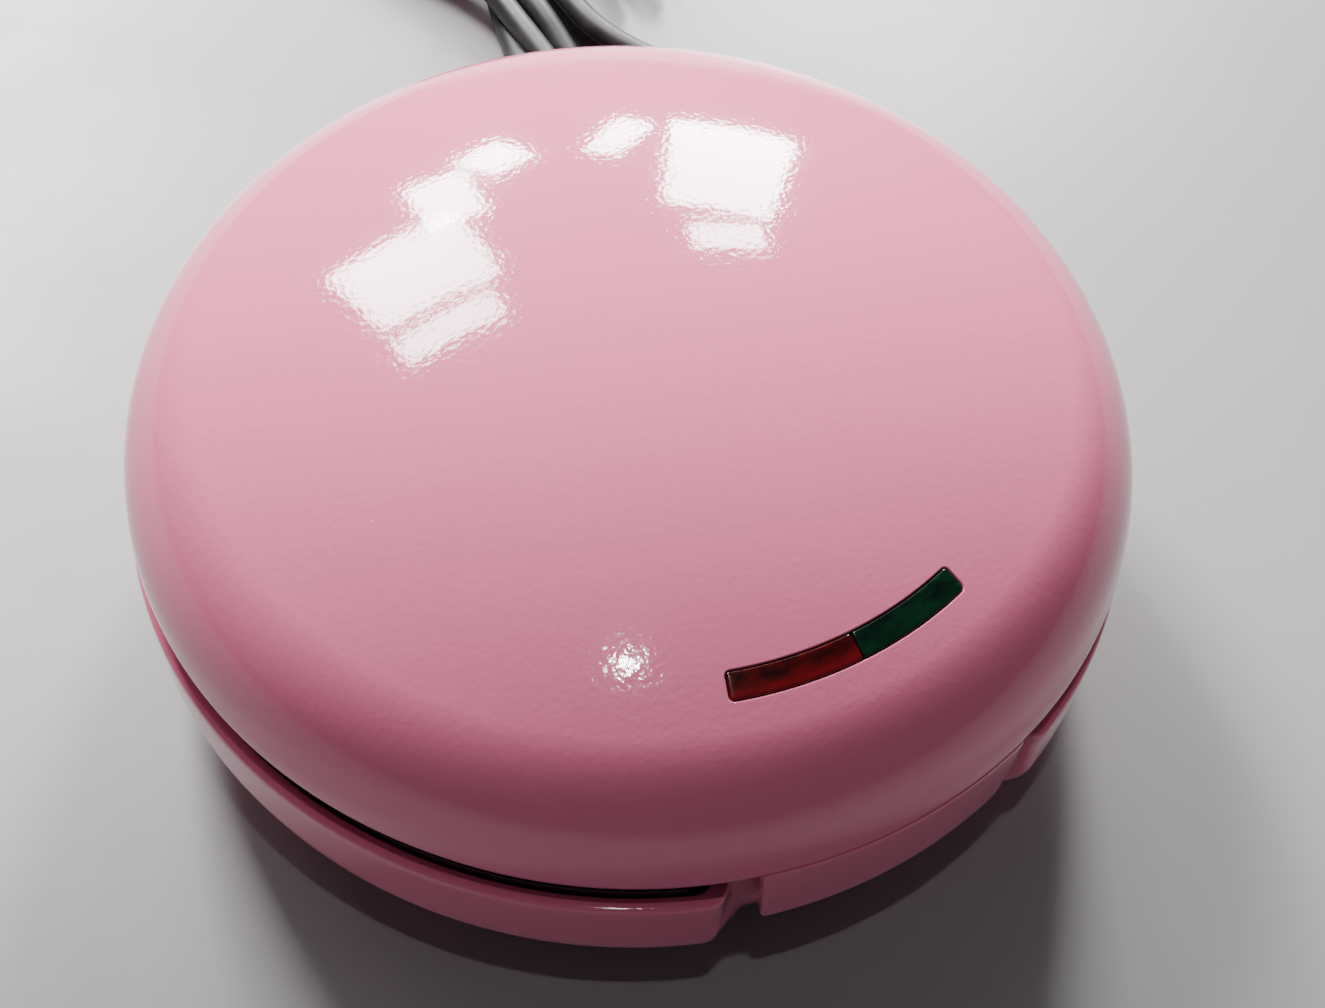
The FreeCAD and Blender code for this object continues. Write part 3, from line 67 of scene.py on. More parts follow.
# The dome: a crown arc, a shoulder arc, and a narrower skirt.
SHOULDER_RADIUS, WIDEST = 29.3, 53.9
LID_WALL, EDGE_HEIGHT, EDGE_ROUND = 2.6, 53.2, 0.7
SKIRT_HEIGHT, SKIRT_WALL = 48.5, 0.9
SHOULDER_REACH = LID_RADIUS - SHOULDER_RADIUS
DOME_RISE = TOP - WIDEST
CROWN_RADIUS = ((SHOULDER_REACH**2 + DOME_RISE**2 - SHOULDER_RADIUS**2)
                / (2 * (DOME_RISE - SHOULDER_RADIUS)))
CROWN_CENTRE = TOP - CROWN_RADIUS
JOIN = asin(SHOULDER_REACH / (CROWN_RADIUS - SHOULDER_RADIUS))

# The windows' slot; each span starts at the joint between them.
SLOT_INNER, SLOT_OUTER = 81.4, 86.9
RED_SPAN, GREEN_SPAN = radians(18.3), radians(17.5)
SLOT_CORNER, SLOT_LIP = 1.1, 0.35
LENS_FIT, LENS_JOINT, LENS_PROUD, LENS_THICKNESS = 0.16, radians(0.03), 0.06, 3.3
LENS_CORNER, LENS_EDGE, LENS_BACK_EDGE = 0.8, 0.55, 0.15

# The grip tab, which leans inwards and narrows downwards.
TAB_HALF_ANGLE, TAB_PROUD, TAB_THICKNESS = radians(16.5), 0.25, 2.8
TAB_TOP, TAB_TRIM, TAB_CORNER, TAB_EDGE = 53.5, 0.3, 1.7, 0.55
TAB_LEAN, TAB_TAPER = 1.7, 0.045

# The base in section, from its rim down to its floor.
RIM_HEIGHT, RIM_WIDTH, RIM_ROUND, RIM_EDGE = 44.2, 3.2, 1.2, 0.3
LIP_LOW, LIP_RISE, LIP_PROUD = 41.5, 0.2, 0.35
BASE_WALL, WALL_DRAFT = 3.0, 0.7
KNEE_HEIGHT, KNEE_RADIUS, BOWL_SLOPE = 29.5, 14.0, radians(35)
LEDGE_TOP, LEDGE_WIDTH, LEDGE_DEPTH = 38.0, 3.3, 2.4
BEND_IN, BEND_OUT, BEND_RISE = 0.7, 0.6, 0.42

# The finger recess, and how steep its sides are in degrees.
RECESS_DEPTH, SCOOP_RADIUS, RECESS_START = 7.0, 32.0, 41.9
RECESS_ROUNDS = (4.5, 3.0)
STEEP, FLATTER = 60, 22
STEEP_ABOVE, FLATTER_OVER = 40.0, 18.0
FINE_DEGREES, INNER_SHIFT = 27, 2.4

# The floor's vents and screw wells.
FLOOR_DISC, FLOOR_EDGE = 87.6, 0.3
VENTS, VENT_INNER, VENT_OUTER, VENT_HALF_WIDTH = 8, 25.8, 44.2, 1.6
SCREW_CIRCLE, SCREW_WELL, SCREW_BEARINGS = 83.55, 3.05, (90, 210, 330)

KNUCKLE_RADIUS, PIN_RADIUS = 5.5, 2.2
HINGE_HALF, EAR_WIDTH, KNUCKLE_HALF = 22.0, 7.0, 14.6
KNUCKLE_PLAY, EAR_PLAY = 0.05, 0.02
ARM_SUNK, EAR_SUNK = 3.2, 3.6

FOOT_RADIUS = 7.5

CORD_DIAMETER = 7.0
EXIT_ANGLE, EXIT_HEIGHT = radians(20), 17.5
BOSS_FACE, BOSS_RADIUS, BOSS_LENGTH, BOSS_ROUND = 108.2, 8.6, 18, 0.7

# The strain relief: a collar, then ribs that shrink towards the tip.
GLAND_LENGTH, GLAND_FIT, GLAND_ROOT = 26.0, 0.05, 4
COLLAR_RADIUS, COLLAR_LENGTH = 7.4, 3.0
RIBS, RIB_START, RIB_PITCH, RIB_RADIUS, RIB_SHRINK = 6, 3.6, 3.2, 6.1, 0.22

# The twist tie round the hank.
TIE_HALF_WIDTH, TIE_STRAP, TIE_FIT, TIE_EDGE, TIE_WIRE = 2.6, 0.9, 0.1, 0.3, 0.75
TIE_GROOVE_HALF, TIE_GROOVE = 0.5, 0.28
TWIST_START, TWIST_LENGTH, TWISTS = 2.2, 9.0, 3.5
FLARE_FROM, FLARE = 0.8, 1.6

# The plug: shares are counted along the grip from its front to its neck.
PLUG_NECK, PLUG_CORNER, PLUG_EDGE = 8.0, 3.2, 2.4
WAIST_DEPTH, WAIST_STRETCH, WAIST_TAPER, WAIST_TAPER_FROM = 0.20, 1.15, 0.22, 0.62
THINNING, THINNING_FROM = 0.28, 0.35
RIDGE_FROM, RIDGE_TO, RIDGE_HEIGHT, RIDGES, RIDGE_SIDE = 0.28, 0.78, 0.35, 9, 0.55
BLADE_HALF_WIDTH, BLADE_HALF_THICK, BLADE_ROOT = 3.2, 0.75, 0.5
TIP_SHARE, TIP_TAPER = 0.16, 0.35

# The camera, fitted to the photograph's dome, slot and tab.
CAMERA_SPOT = (-155.616, -250.178, 435.007)
CAMERA_AHEAD = (0.32283, 0.48975, -0.80989)
CAMERA_ROLL, CAMERA_LENS, CAMERA_SENSOR = radians(3.69), 59.77, 36.0

# Each window: name, where it shows on the dome, its bearing, elevation, width and height
# from there in degrees, watts, and roll in degrees.
WINDOWS = [
    ("window_left", (-37, 25, 95), 3.5, 36.0, 15, 14, 33, 0.0),
    ("window_left_upper", (-20, 42, 95), 11.5, 26, 6.5, 10, 11, 0.0),
    ("window_left_low", (-37, 11, 97), 1.5, 47.2, 13, 5, 9, 0.0),
    ("window_left_top", (-6, 54, 94), 18, 20.5, 5.5, 6.0, 6, 30),
    ("window_right", (37, 27, 95), 40, 23, 11.5, 19, 40, 3),
    ("window_right_low", (25, 5, 98), 42.7, 36.6, 8, 4.5, 6, 24),
    ("window_right_side", (20, 44, 95), 29.5, 18.5, 3.6, 8.5, 5, -24),
]
SKY_TINT, SKY_STRENGTH = (0.9, 0.94, 1.0, 1), 0.08
FLOOR_REACH = 4.0


def place(point):
    """A point in working millimetres, put in the frame in metres."""
    return Vector((point[0], point[1] + AXIS_Y, point[2])) * MM


def around(radius, angle, height):
    """A point at an angle from the front towards +X."""
    return (radius * sin(angle), -radius * cos(angle), height)


# ---- node helpers

class Look:
    """A procedural material: a Principled shader and the nodes that feed it."""

    def __init__(self, name, **values):
        self.material = bpy.data.materials.new(name)
        self.material.use_nodes = True
        self.tree = self.material.node_tree
        self.shader = self.tree.nodes["Principled BSDF"]
        for key, value in values.items():
            socket = self.shader.inputs[key.replace("_", " ").title()
                                        if key != "ior" else "IOR"]
            socket.default_value = value
        self.spot = self.node("ShaderNodeTexCoord").outputs["Object"]

    def node(self, kind, **settings):
        node = self.tree.nodes.new(kind)
        for key, value in settings.items():
            setattr(node, key, value)
        return node

    def link(self, output, target):
        self.tree.links.new(output, target)

    def noise(self, per_metre, detail=3.0, roughness=0.5, stretch=None):
        node = self.node("ShaderNodeTexNoise")
        node.inputs["Scale"].default_value = per_metre
        node.inputs["Detail"].default_value = detail
        node.inputs["Roughness"].default_value = roughness
        source = self.spot
        if stretch is not None:
            mapping = self.node("ShaderNodeMapping")
            mapping.inputs["Scale"].default_value = stretch
            self.link(source, mapping.inputs["Vector"])
            source = mapping.outputs["Vector"]
        self.link(source, node.inputs["Vector"])
        return node.outputs["Fac"]

    def specks(self, per_metre, size):
        """Rare round specks, 1 inside and 0 outside."""
        node = self.node("ShaderNodeTexVoronoi")
        node.inputs["Scale"].default_value = per_metre
        self.link(self.spot, node.inputs["Vector"])
        return self.spread(node.outputs["Distance"], size, size * 0.4)

    def spread(self, output, low, high, to_low=0.0, to_high=1.0):
        node = self.node("ShaderNodeMapRange")
        for key, value in (("From Min", low), ("From Max", high),
                           ("To Min", to_low), ("To Max", to_high)):
            node.inputs[key].default_value = value
        self.link(output, node.inputs["Value"])
        return node.outputs["Result"]

    def times(self, first, second, kind="MULTIPLY"):
        node = self.node("ShaderNodeMath", operation=kind)
        for socket, value in zip(node.inputs, (first, second)):
            if isinstance(value, (int, float)):
                socket.default_value = value
            else:
                self.link(value, socket)
        return node.outputs["Value"]

    def blend(self, factor, first, second):
        """Colour between two colours; either may be an output."""
        node = self.node("ShaderNodeMix", data_type="RGBA")
        self.link(factor, node.inputs["Factor"])
        for key, value in ((6, first), (7, second)):
            if isinstance(value, tuple):
                node.inputs[key].default_value = (*value, 1)
            else:
                self.link(value, node.inputs[key])
        return node.outputs[2]

    def colour(self, output):
        self.link(output, self.shader.inputs["Base Color"])
        return self

    def rough(self, output, low, high):
        self.link(self.spread(output, 0.3, 0.7, low, high),
                  self.shader.inputs["Roughness"])
        return self

    def bump(self, output, height_mm):
        """Add a bump on top of the bumps that are already there."""
        node = self.node("ShaderNodeBump")
        node.inputs["Distance"].default_value = height_mm * MM
        self.link(output, node.inputs["Height"])
        normal = self.shader.inputs["Normal"]
        if normal.is_linked:
            self.link(normal.links[0].from_socket, node.inputs["Normal"])
        self.link(node.outputs["Normal"], normal)
        return self


def pink_plastic():
    """Gloss moulded plastic: faint orange peel, hazy patches, a few dust specks."""
    look = Look("pink_plastic", ior=1.43, coat_weight=0.25, coat_roughness=0.02)
    cloudy = look.noise(18, 4, 0.6)
    base = look.blend(cloudy, (0.790, 0.180, 0.318), (0.830, 0.202, 0.350))
    dust = look.times(look.specks(95, 0.035), look.spread(look.noise(26), 0.60, 0.64))
    look.colour(look.blend(dust, base, (0.90, 0.80, 0.82)))
    look.rough(look.noise(60, 5, 0.65), 0.05, 0.10)
    look.bump(look.noise(760, 1.0), 0.034)
    look.bump(look.noise(190, 2.0), 0.024)
    return look.material


def dark_resin():
    """Heat-resistant moulding, satin, with a fine mineral fleck."""
    look = Look("dark_resin", ior=1.5)
    fleck = look.noise(2600, 2, 0.7)
    look.colour(look.blend(look.spread(fleck, 0.52, 0.72), (0.060, 0.030, 0.038),
                           (0.130, 0.075, 0.088)))
    look.rough(look.noise(240, 4, 0.6), 0.34, 0.50)
    look.bump(fleck, 0.012)
    return look.material


def non_stick():
    """Dark non-stick coating: sprayed texture, mica fleck, faint baked-on staining."""
    look = Look("non_stick", ior=1.45, metallic=0.25)
    spray = look.noise(1900, 3, 0.6)
    stain = look.noise(34, 5, 0.62)
    coat = look.blend(look.spread(stain, 0.42, 0.70), (0.030, 0.030, 0.032),
                      (0.052, 0.046, 0.042))
    fleck = look.specks(2200, 0.16)
    look.colour(look.blend(look.times(fleck, 0.55), coat, (0.22, 0.21, 0.20)))
    look.rough(stain, 0.30, 0.46)
    look.bump(spray, 0.018)
    return look.material


def black_rubber(name, low, high, fine):
    look = Look(name, ior=1.5)
    dust = look.noise(75, 6, 0.7)
    look.colour(look.blend(look.spread(dust, 0.45, 0.75), (0.012, 0.012, 0.013),
                           (0.040, 0.040, 0.042)))
    look.rough(dust, low, high)
    look.bump(look.noise(1500, 3, 0.6), fine)
    return look.material


def tinted_lens(name, deep, bright, edge):
    """Tinted clear plastic: dark inside, with a painted glow that brightens towards its outer
    edge.
    """
    look = Look(name, ior=1.5, roughness=0.17, transmission_weight=0.2)
    apart = look.node("ShaderNodeSeparateXYZ")
    look.link(look.spot, apart.inputs["Vector"])
    along = look.times(apart.outputs["Y"], -AXIS_Y * MM, "ADD")
    square = look.times(look.times(apart.outputs["X"], apart.outputs["X"]),
                        look.times(along, along), "ADD")
    reach = look.times(square, 0.5, "POWER")
    # Painted glow: the lens colour blends towards its last given colour near the slot's outer
    # edge.
    painted_glow_mask = look.spread(reach, (SLOT_INNER + 1.2) * MM, (SLOT_OUTER - 0.2) * MM)
    mottled = look.spread(look.noise(150, 4, 0.6, (1.0, 2.2, 1.0)), 0.40, 0.60)
    body = look.blend(mottled, deep, bright)
    painted_glow = look.times(look.times(painted_glow_mask, painted_glow_mask), 0.7)
    look.colour(look.blend(painted_glow, body, edge))
    look.bump(look.noise(90, 2), 0.05)
    return look.material


def bright_metal(name, tint, low, high, stretch):
    look = Look(name, metallic=1.0)
    grain = look.noise(900, 4, 0.6, stretch)
    shade = tuple(0.82 * part for part in tint)
    look.colour(look.blend(grain, shade, tint))
    look.rough(grain, low, high)
    look.bump(grain, 0.006)
    return look.material


def pale_insulation(name, tint, scale, height):
    """Ceramic, glass or glass cloth."""
    look = Look(name, ior=1.5)
    weave = look.noise(scale, 3, 0.6)
    shade = tuple(0.80 * part for part in tint)
    look.colour(look.blend(weave, shade, tint))
    look.rough(weave, 0.35, 0.6)
    look.bump(weave, height)
    return look.material


def pale_floor():
    look = Look("studio_floor", ior=1.45)
    cloud = look.noise(3.0, 5, 0.55)
    look.colour(look.blend(cloud, (0.29, 0.29, 0.295), (0.37, 0.37, 0.375)))
    look.rough(look.noise(9, 4), 0.32, 0.48)
    look.bump(look.noise(160, 3), 0.03)
    return look.material


PINK = pink_plastic()
RESIN = dark_resin()
COATING = non_stick()
RUBBER = black_rubber("soft_rubber", 0.55, 0.75, 0.03)
SHEATH = black_rubber("cord_sheath", 0.46, 0.62, 0.012)
PLUG_LOOK = black_rubber("plug_moulding", 0.34, 0.52, 0.02)
# Each lens's last colour is the painted glow at its outer edge.
RED = tinted_lens("red_tint", (0.008, 0.0004, 0.0008), (0.085, 0.0014, 0.003),
                  (0.36, 0.008, 0.016))
GREEN = tinted_lens("green_tint", (0.0006, 0.003, 0.002), (0.0012, 0.026, 0.012),
                    (0.0016, 0.044, 0.018))
STEEL = bright_metal("bright_steel", (0.66, 0.66, 0.67), 0.16, 0.34, (1, 1, 0.1))
BRASS = bright_metal("nickel_brass", (0.74, 0.66, 0.48), 0.18, 0.34, (0.2, 1, 1))
SHEET_METAL = bright_metal("sheet_aluminium", (0.74, 0.75, 0.77), 0.28, 0.45,
                           (1, 0.05, 1))
CERAMIC = pale_insulation("glazed_ceramic", (0.80, 0.77, 0.71), 700, 0.01)
SLEEVE = pale_insulation("glass_sleeve", (0.74, 0.72, 0.66), 2400, 0.06)
LAMP_LOOK = pale_insulation("lamp_glass", (0.80, 0.62, 0.52), 300, 0.01)

NODE_LOOKS = [
    (RESIN, "lower_frame upper_frame cord_clamp lamp_holder"),
    (COATING, "lower_plate upper_plate"),
    (STEEL, "lower_element upper_element base_screws lid_screws clamp_screws hinge_pin"),
    (BRASS, "terminal_screws"),
    (SHEET_METAL, "lower_heat_shield upper_heat_shield"),
    (CERAMIC, "terminal_block thermostat"),
    (SLEEVE, "thermal_fuse base_wiring lid_wiring"),
    (LAMP_LOOK, "red_lamp green_lamp"),
    (SHEATH, "inner_lead"),
]


def dress_frame_nodes():
    """Give the CAD nodes that stay their materials."""
    for look, names in NODE_LOOKS:
        for name in names.split():
            mesh = frame["nodes"][name].data
            mesh.materials.clear()
            mesh.materials.append(look)


# ---- mesh helpers

class Net:
    """Points and faces of one mesh, in working millimetres."""

    def __init__(self):
        self.points = []
        self.faces = []

    def row(self, points):
        first = len(self.points)
        self.points.extend(points)
        return list(range(first, len(self.points)))

    def skin(self, first, second, closed=True):
        count = len(first)
        for k in range(count if closed else count - 1):
            after = (k + 1) % count
            self.faces.append((first[k], first[after], second[after], second[k]))

    def skins(self, rows, closed=True):
        for first, second in zip(rows, rows[1:]):
            self.skin(first, second, closed)

    def cap(self, row):
        """Close a ring with a fan about its middle."""
        middle = sum((Vector(self.points[k]) for k in row), Vector()) / len(row)
        centre = self.row([tuple(middle)])[0]
        for k, index in enumerate(row):
            self.faces.append((index, row[(k + 1) % len(row)], centre))


def add(name, data):
    thing = bpy.data.objects.new(name, data)
    bpy.context.scene.collection.objects.link(thing)
    return thing


def finish_piece(piece, body, replaced=()):
    if replaced:
        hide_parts(*replaced)
    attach(piece, body)
    return piece


def make(net, name, look, body, replaced=(), sharp=38, surface=None):
    """Turn a net into a smooth-shaded piece; surface gives exact normals where it can."""
    mesh = bpy.data.meshes.new(name)
    mesh.from_pydata([place(point) for point in net.points], [], net.faces)
    work = bmesh.new()
    work.from_mesh(mesh)
    bmesh.ops.remove_doubles(work, verts=work.verts, dist=2e-6)
    bmesh.ops.dissolve_degenerate(work, edges=work.edges, dist=1e-7)
    bmesh.ops.recalc_face_normals(work, faces=work.faces)
    work.to_mesh(mesh)
    work.free()
    mesh.polygons.foreach_set("use_smooth", [True] * len(mesh.polygons))
    mesh.set_sharp_from_angle(angle=radians(sharp))
    if surface is not None:
        axis = Vector((0, AXIS_Y, 0))
        mesh.normals_split_custom_set_from_vertices(
            [surface(vertex.co / MM - axis) for vertex in mesh.vertices])
    mesh.materials.append(look)
    return finish_piece(add(name, mesh), body, replaced)


def merge(net, other):
    shift = len(net.points)
    net.points.extend(other.points)
    net.faces.extend(tuple(index + shift for index in face) for face in other.faces)


def round_off(x, y, half_x, half_y, corner):
    """The point of a rounded rectangle that belongs to a point of its square outline."""
    inner_x = max(-half_x + corner, min(half_x - corner, x))
    inner_y = max(-half_y + corner, min(half_y - corner, y))
    off_x, off_y = x - inner_x, y - inner_y
    length = hypot(off_x, off_y)
    if length < 1e-9 or corner < 1e-9:
        return (x, y)
    return (inner_x + corner * off_x / length, inner_y + corner * off_y / length)


def outline(half_x, half_y, corner, along, across):
    """Rounded rectangle from its corner at (-x, -y), its points crowded at the corners."""
    corner = min(corner, half_x, half_y)
    raw = [(-half_x * cos(pi * k / along), -half_y) for k in range(along)]
    raw += [(half_x, -half_y * cos(pi * k / across)) for k in range(across)]
    raw += [(half_x * cos(pi * k / along), half_y) for k in range(along)]
    raw += [(-half_x, half_y * cos(pi * k / across)) for k in range(across)]
    return [round_off(x, y, half_x, half_y, corner) for x, y in raw]


def slab(net, half_x, half_y, corner, thickness, edge, mapping, along=32, across=12,
         edge_steps=4, back_edge=None):
    """Plate with rounded corners and edges; mapping takes (x, y, depth) to a point."""
    back_edge = edge if back_edge is None else back_edge

    def ring(inset, depth):
        points = outline(max(half_x - inset, 1e-4), max(half_y - inset, 1e-4),
                         max(corner - inset, 0), along, across)
        return net.row([mapping(x, y, depth) for x, y in points])

    def face(inset, depth):
        fill = max(3, int((half_y - inset) / 1.4))
        insets = [half_y - (half_y - inset) * k / fill for k in range(fill)]
        return [ring(far, depth) for far in insets]

    turns = [radians(90 * k / edge_steps) for k in range(edge_steps + 1)]
    rows = face(edge, 0)
    rows += [ring(edge * (1 - sin(turn)), edge * (1 - cos(turn))) for turn in turns]
    rows += [ring(back_edge * (1 - cos(turn)), thickness - back_edge * (1 - sin(turn)))
             for turn in turns]
    rows += face(back_edge, thickness)[::-1]
    net.skins(rows)


def turned(net, origin, direction, profile, steps=48):
    """Lathe a profile of (distance, radius) about a line; both ends run to the axis."""
    direction = Vector(direction).normalized()
    side = direction.orthogonal().normalized()
    other = direction.cross(side)
    rows = []
    for distance, radius in profile:
        middle = Vector(origin) + direction * distance
        rows.append(net.row([
            tuple(middle + side * (radius * cos(2 * pi * k / steps))
                  + other * (radius * sin(2 * pi * k / steps))) for k in range(steps)]))
    net.skins(rows)


def hull_outline(points):
    """Convex hull of flat points, anticlockwise."""
    points = sorted(set(points))
    halves = []
    for run in (points, points[::-1]):
        chain = []
        for p in run:
            while len(chain) > 1:
                (ax, ay), (bx, by) = chain[-2:]
                if (bx - ax) * (p[1] - ay) - (by - ay) * (p[0] - ax) > 0:
                    break
                chain.pop()
            chain.append(p)
        halves += chain[:-1]
    return halves


def reach_of(hull, centre, angle):
    """Distance from the centre to the hull's outline at an angle."""
    way = (cos(angle), sin(angle))
    best = 0.0
    for (ax, ay), (bx, by) in zip(hull, hull[1:] + hull[:1]):
        ex, ey = bx - ax, by - ay
        cross = way[0] * ey - way[1] * ex
        if abs(cross) < 1e-12:
            continue
        gap_x, gap_y = ax - centre[0], ay - centre[1]
        distance = (gap_x * ey - gap_y * ex) / cross
        share = (gap_x * way[1] - gap_y * way[0]) / cross
        if -1e-9 <= share <= 1 + 1e-9 and distance > best:
            best = distance
    return best


def bored_block(net, foot, low_x, high_x, bore, edge=0.7, steps=96):
    """Hinge ear or knuckle: the hull of a circle round the pin and foot points."""
    centre = (HINGE.y, HINGE.z)
    circle = [(centre[0] + KNUCKLE_RADIUS * cos(2 * pi * k / 60),
               centre[1] + KNUCKLE_RADIUS * sin(2 * pi * k / 60)) for k in range(60)]
    hull = hull_outline(circle + foot)
    angles = [2 * pi * k / steps for k in range(steps)]
    far = [reach_of(hull, centre, angle) for angle in angles]

    def ring(x, inset, radii):
        return net.row([(x, centre[0] + (radius - inset) * cos(angle),
                         centre[1] + (radius - inset) * sin(angle))
                        for radius, angle in zip(radii, angles)])

    hole = [bore] * steps
    turns = [radians(30 * k) for k in range(4)]
    rows = [ring(low_x, 0, hole), ring(low_x, edge, far)]
    rows += [ring(low_x + edge * (1 - cos(turn)), edge * (1 - sin(turn)), far)
             for turn in turns]
    rows += [ring(high_x - edge * (1 - sin(turn)), edge * (1 - cos(turn)), far)
             for turn in turns]
    rows += [ring(high_x, 0, hole), ring(low_x, 0, hole)]
    net.skins(rows)


# ---- lid housing

def dome(tilt, angle, depth=0.0):
    """Point of the dome whose surface leans by tilt from level, a depth under it."""
    if tilt < JOIN:
        radius = (CROWN_RADIUS - depth) * sin(tilt)
        height = CROWN_CENTRE + (CROWN_RADIUS - depth) * cos(tilt)
    else:
        radius = SHOULDER_REACH + (SHOULDER_RADIUS - depth) * sin(tilt)
        height = WIDEST + (SHOULDER_RADIUS - depth) * cos(tilt)
    return around(radius, angle, height)


def dome_normal(point):
    """Outward normal where a point lies on the dome's outside, else none."""
    reach = hypot(point.x, point.y)
    if reach < 1e-6:
        return Vector((0, 0, 1))
    tilt = atan2(reach, point.z - CROWN_CENTRE)
    if tilt < JOIN:
        off = hypot(reach, point.z - CROWN_CENTRE) - CROWN_RADIUS
    else:
        tilt = atan2(reach - SHOULDER_REACH, point.z - WIDEST)
        off = hypot(reach - SHOULDER_REACH, point.z - WIDEST) - SHOULDER_RADIUS
    if abs(off) > 2e-3:
        return Vector()
    return Vector((sin(tilt) * point.x / reach, sin(tilt) * point.y / reach, cos(tilt)))


SLOT_MIDDLE = (SLOT_INNER + SLOT_OUTER) / 2
SLOT_TILT = asin(SLOT_MIDDLE / CROWN_RADIUS)
SLOT_TURN = (GREEN_SPAN - RED_SPAN) / 2
SLOT_HALF_LENGTH = (GREEN_SPAN + RED_SPAN) / 2 * SLOT_MIDDLE
SLOT_HALF_WIDTH = (SLOT_OUTER - SLOT_INNER) / 2 / cos(SLOT_TILT)
# The patch of grid that gives way to rings round the slot, in degrees and tilts.
PATCH_LEFT, PATCH_RIGHT = -22, 21
PATCH_INNER, PATCH_OUTER = asin(77.5 / CROWN_RADIUS), asin(90.8 / CROWN_RADIUS)
PATCH_ROWS = 14
CROWN_ROWS, SHOULDER_ROWS = 34, 44
RINGS_ROUND_SLOT = (0.72, 0.5, 0.32, 0.18, 0.08, 0.0)
COLUMNS = [radians(k) for k in range(-180, 180)]


def on_slot(x, y, depth=0.0):
    """Point at x along and y across the slot, measured on the dome from its middle."""
    return dome(SLOT_TILT + y / CROWN_RADIUS, SLOT_TURN + x / SLOT_MIDDLE, depth)


def dome_sheet(net, depth, slot_inset):
    """One face of the dome down to the shoulder's widest, with the slot's opening.

    Returns the row at the lower end and the loop round the opening."""
    inside = [PATCH_INNER * k / CROWN_ROWS for k in range(1, CROWN_ROWS)]
    patch = [PATCH_INNER + (PATCH_OUTER - PATCH_INNER) * k / PATCH_ROWS
             for k in range(PATCH_ROWS + 1)]
    beyond = [JOIN] + [JOIN + (radians(90) - JOIN) * k / SHOULDER_ROWS
                       for k in range(1, SHOULDER_ROWS + 1)]
    top = net.row([dome(0, 0, depth)])[0]
    rows = [net.row([dome(tilt, angle, depth) for angle in COLUMNS])
            for tilt in inside + patch + beyond]
    first = rows[0]
    for k, index in enumerate(first):
        net.faces.append((top, first[(k + 1) % len(first)], index))
    start = len(inside)
    left, right = PATCH_LEFT + 180, PATCH_RIGHT + 180
    for number, (upper, lower) in enumerate(zip(rows, rows[1:])):
        for k in range(len(COLUMNS)):
            if start <= number < start + PATCH_ROWS and left <= k < right:
                continue
            after = (k + 1) % len(COLUMNS)
            net.faces.append((upper[k], upper[after], lower[after], lower[k]))
    end = start + PATCH_ROWS
    border = rows[start][left:right]
    border += [rows[number][right] for number in range(start, end)]
    border += rows[end][right:left:-1]
    border += [rows[number][left] for number in range(end, start, -1)]
    edge = outline(SLOT_HALF_LENGTH + slot_inset, SLOT_HALF_WIDTH + slot_inset,
                   SLOT_CORNER + slot_inset, right - left, PATCH_ROWS)
    corners = [(PATCH_LEFT, PATCH_INNER), (PATCH_RIGHT, PATCH_INNER),
               (PATCH_RIGHT, PATCH_OUTER), (PATCH_LEFT, PATCH_OUTER)]
    square = []
    for side, (begin, finish) in enumerate(zip(corners, corners[1:] + corners[:1])):
        count = right - left if side % 2 == 0 else PATCH_ROWS
        for k in range(count):
            share = k / count
            square.append((radians(begin[0] + (finish[0] - begin[0]) * share),
                           begin[1] + (finish[1] - begin[1]) * share))
    before = border
    for share in RINGS_ROUND_SLOT:
        loop = []
        for (angle, tilt), (x, y) in zip(square, edge):
            near_angle = SLOT_TURN + x / SLOT_MIDDLE
            near_tilt = SLOT_TILT + y / CROWN_RADIUS
            loop.append(dome(near_tilt + (tilt - near_tilt) * share,
                             near_angle + (angle - near_angle) * share, depth))
        loop = net.row(loop)
        net.skin(before, loop)
        before = loop
    return rows[-1], before


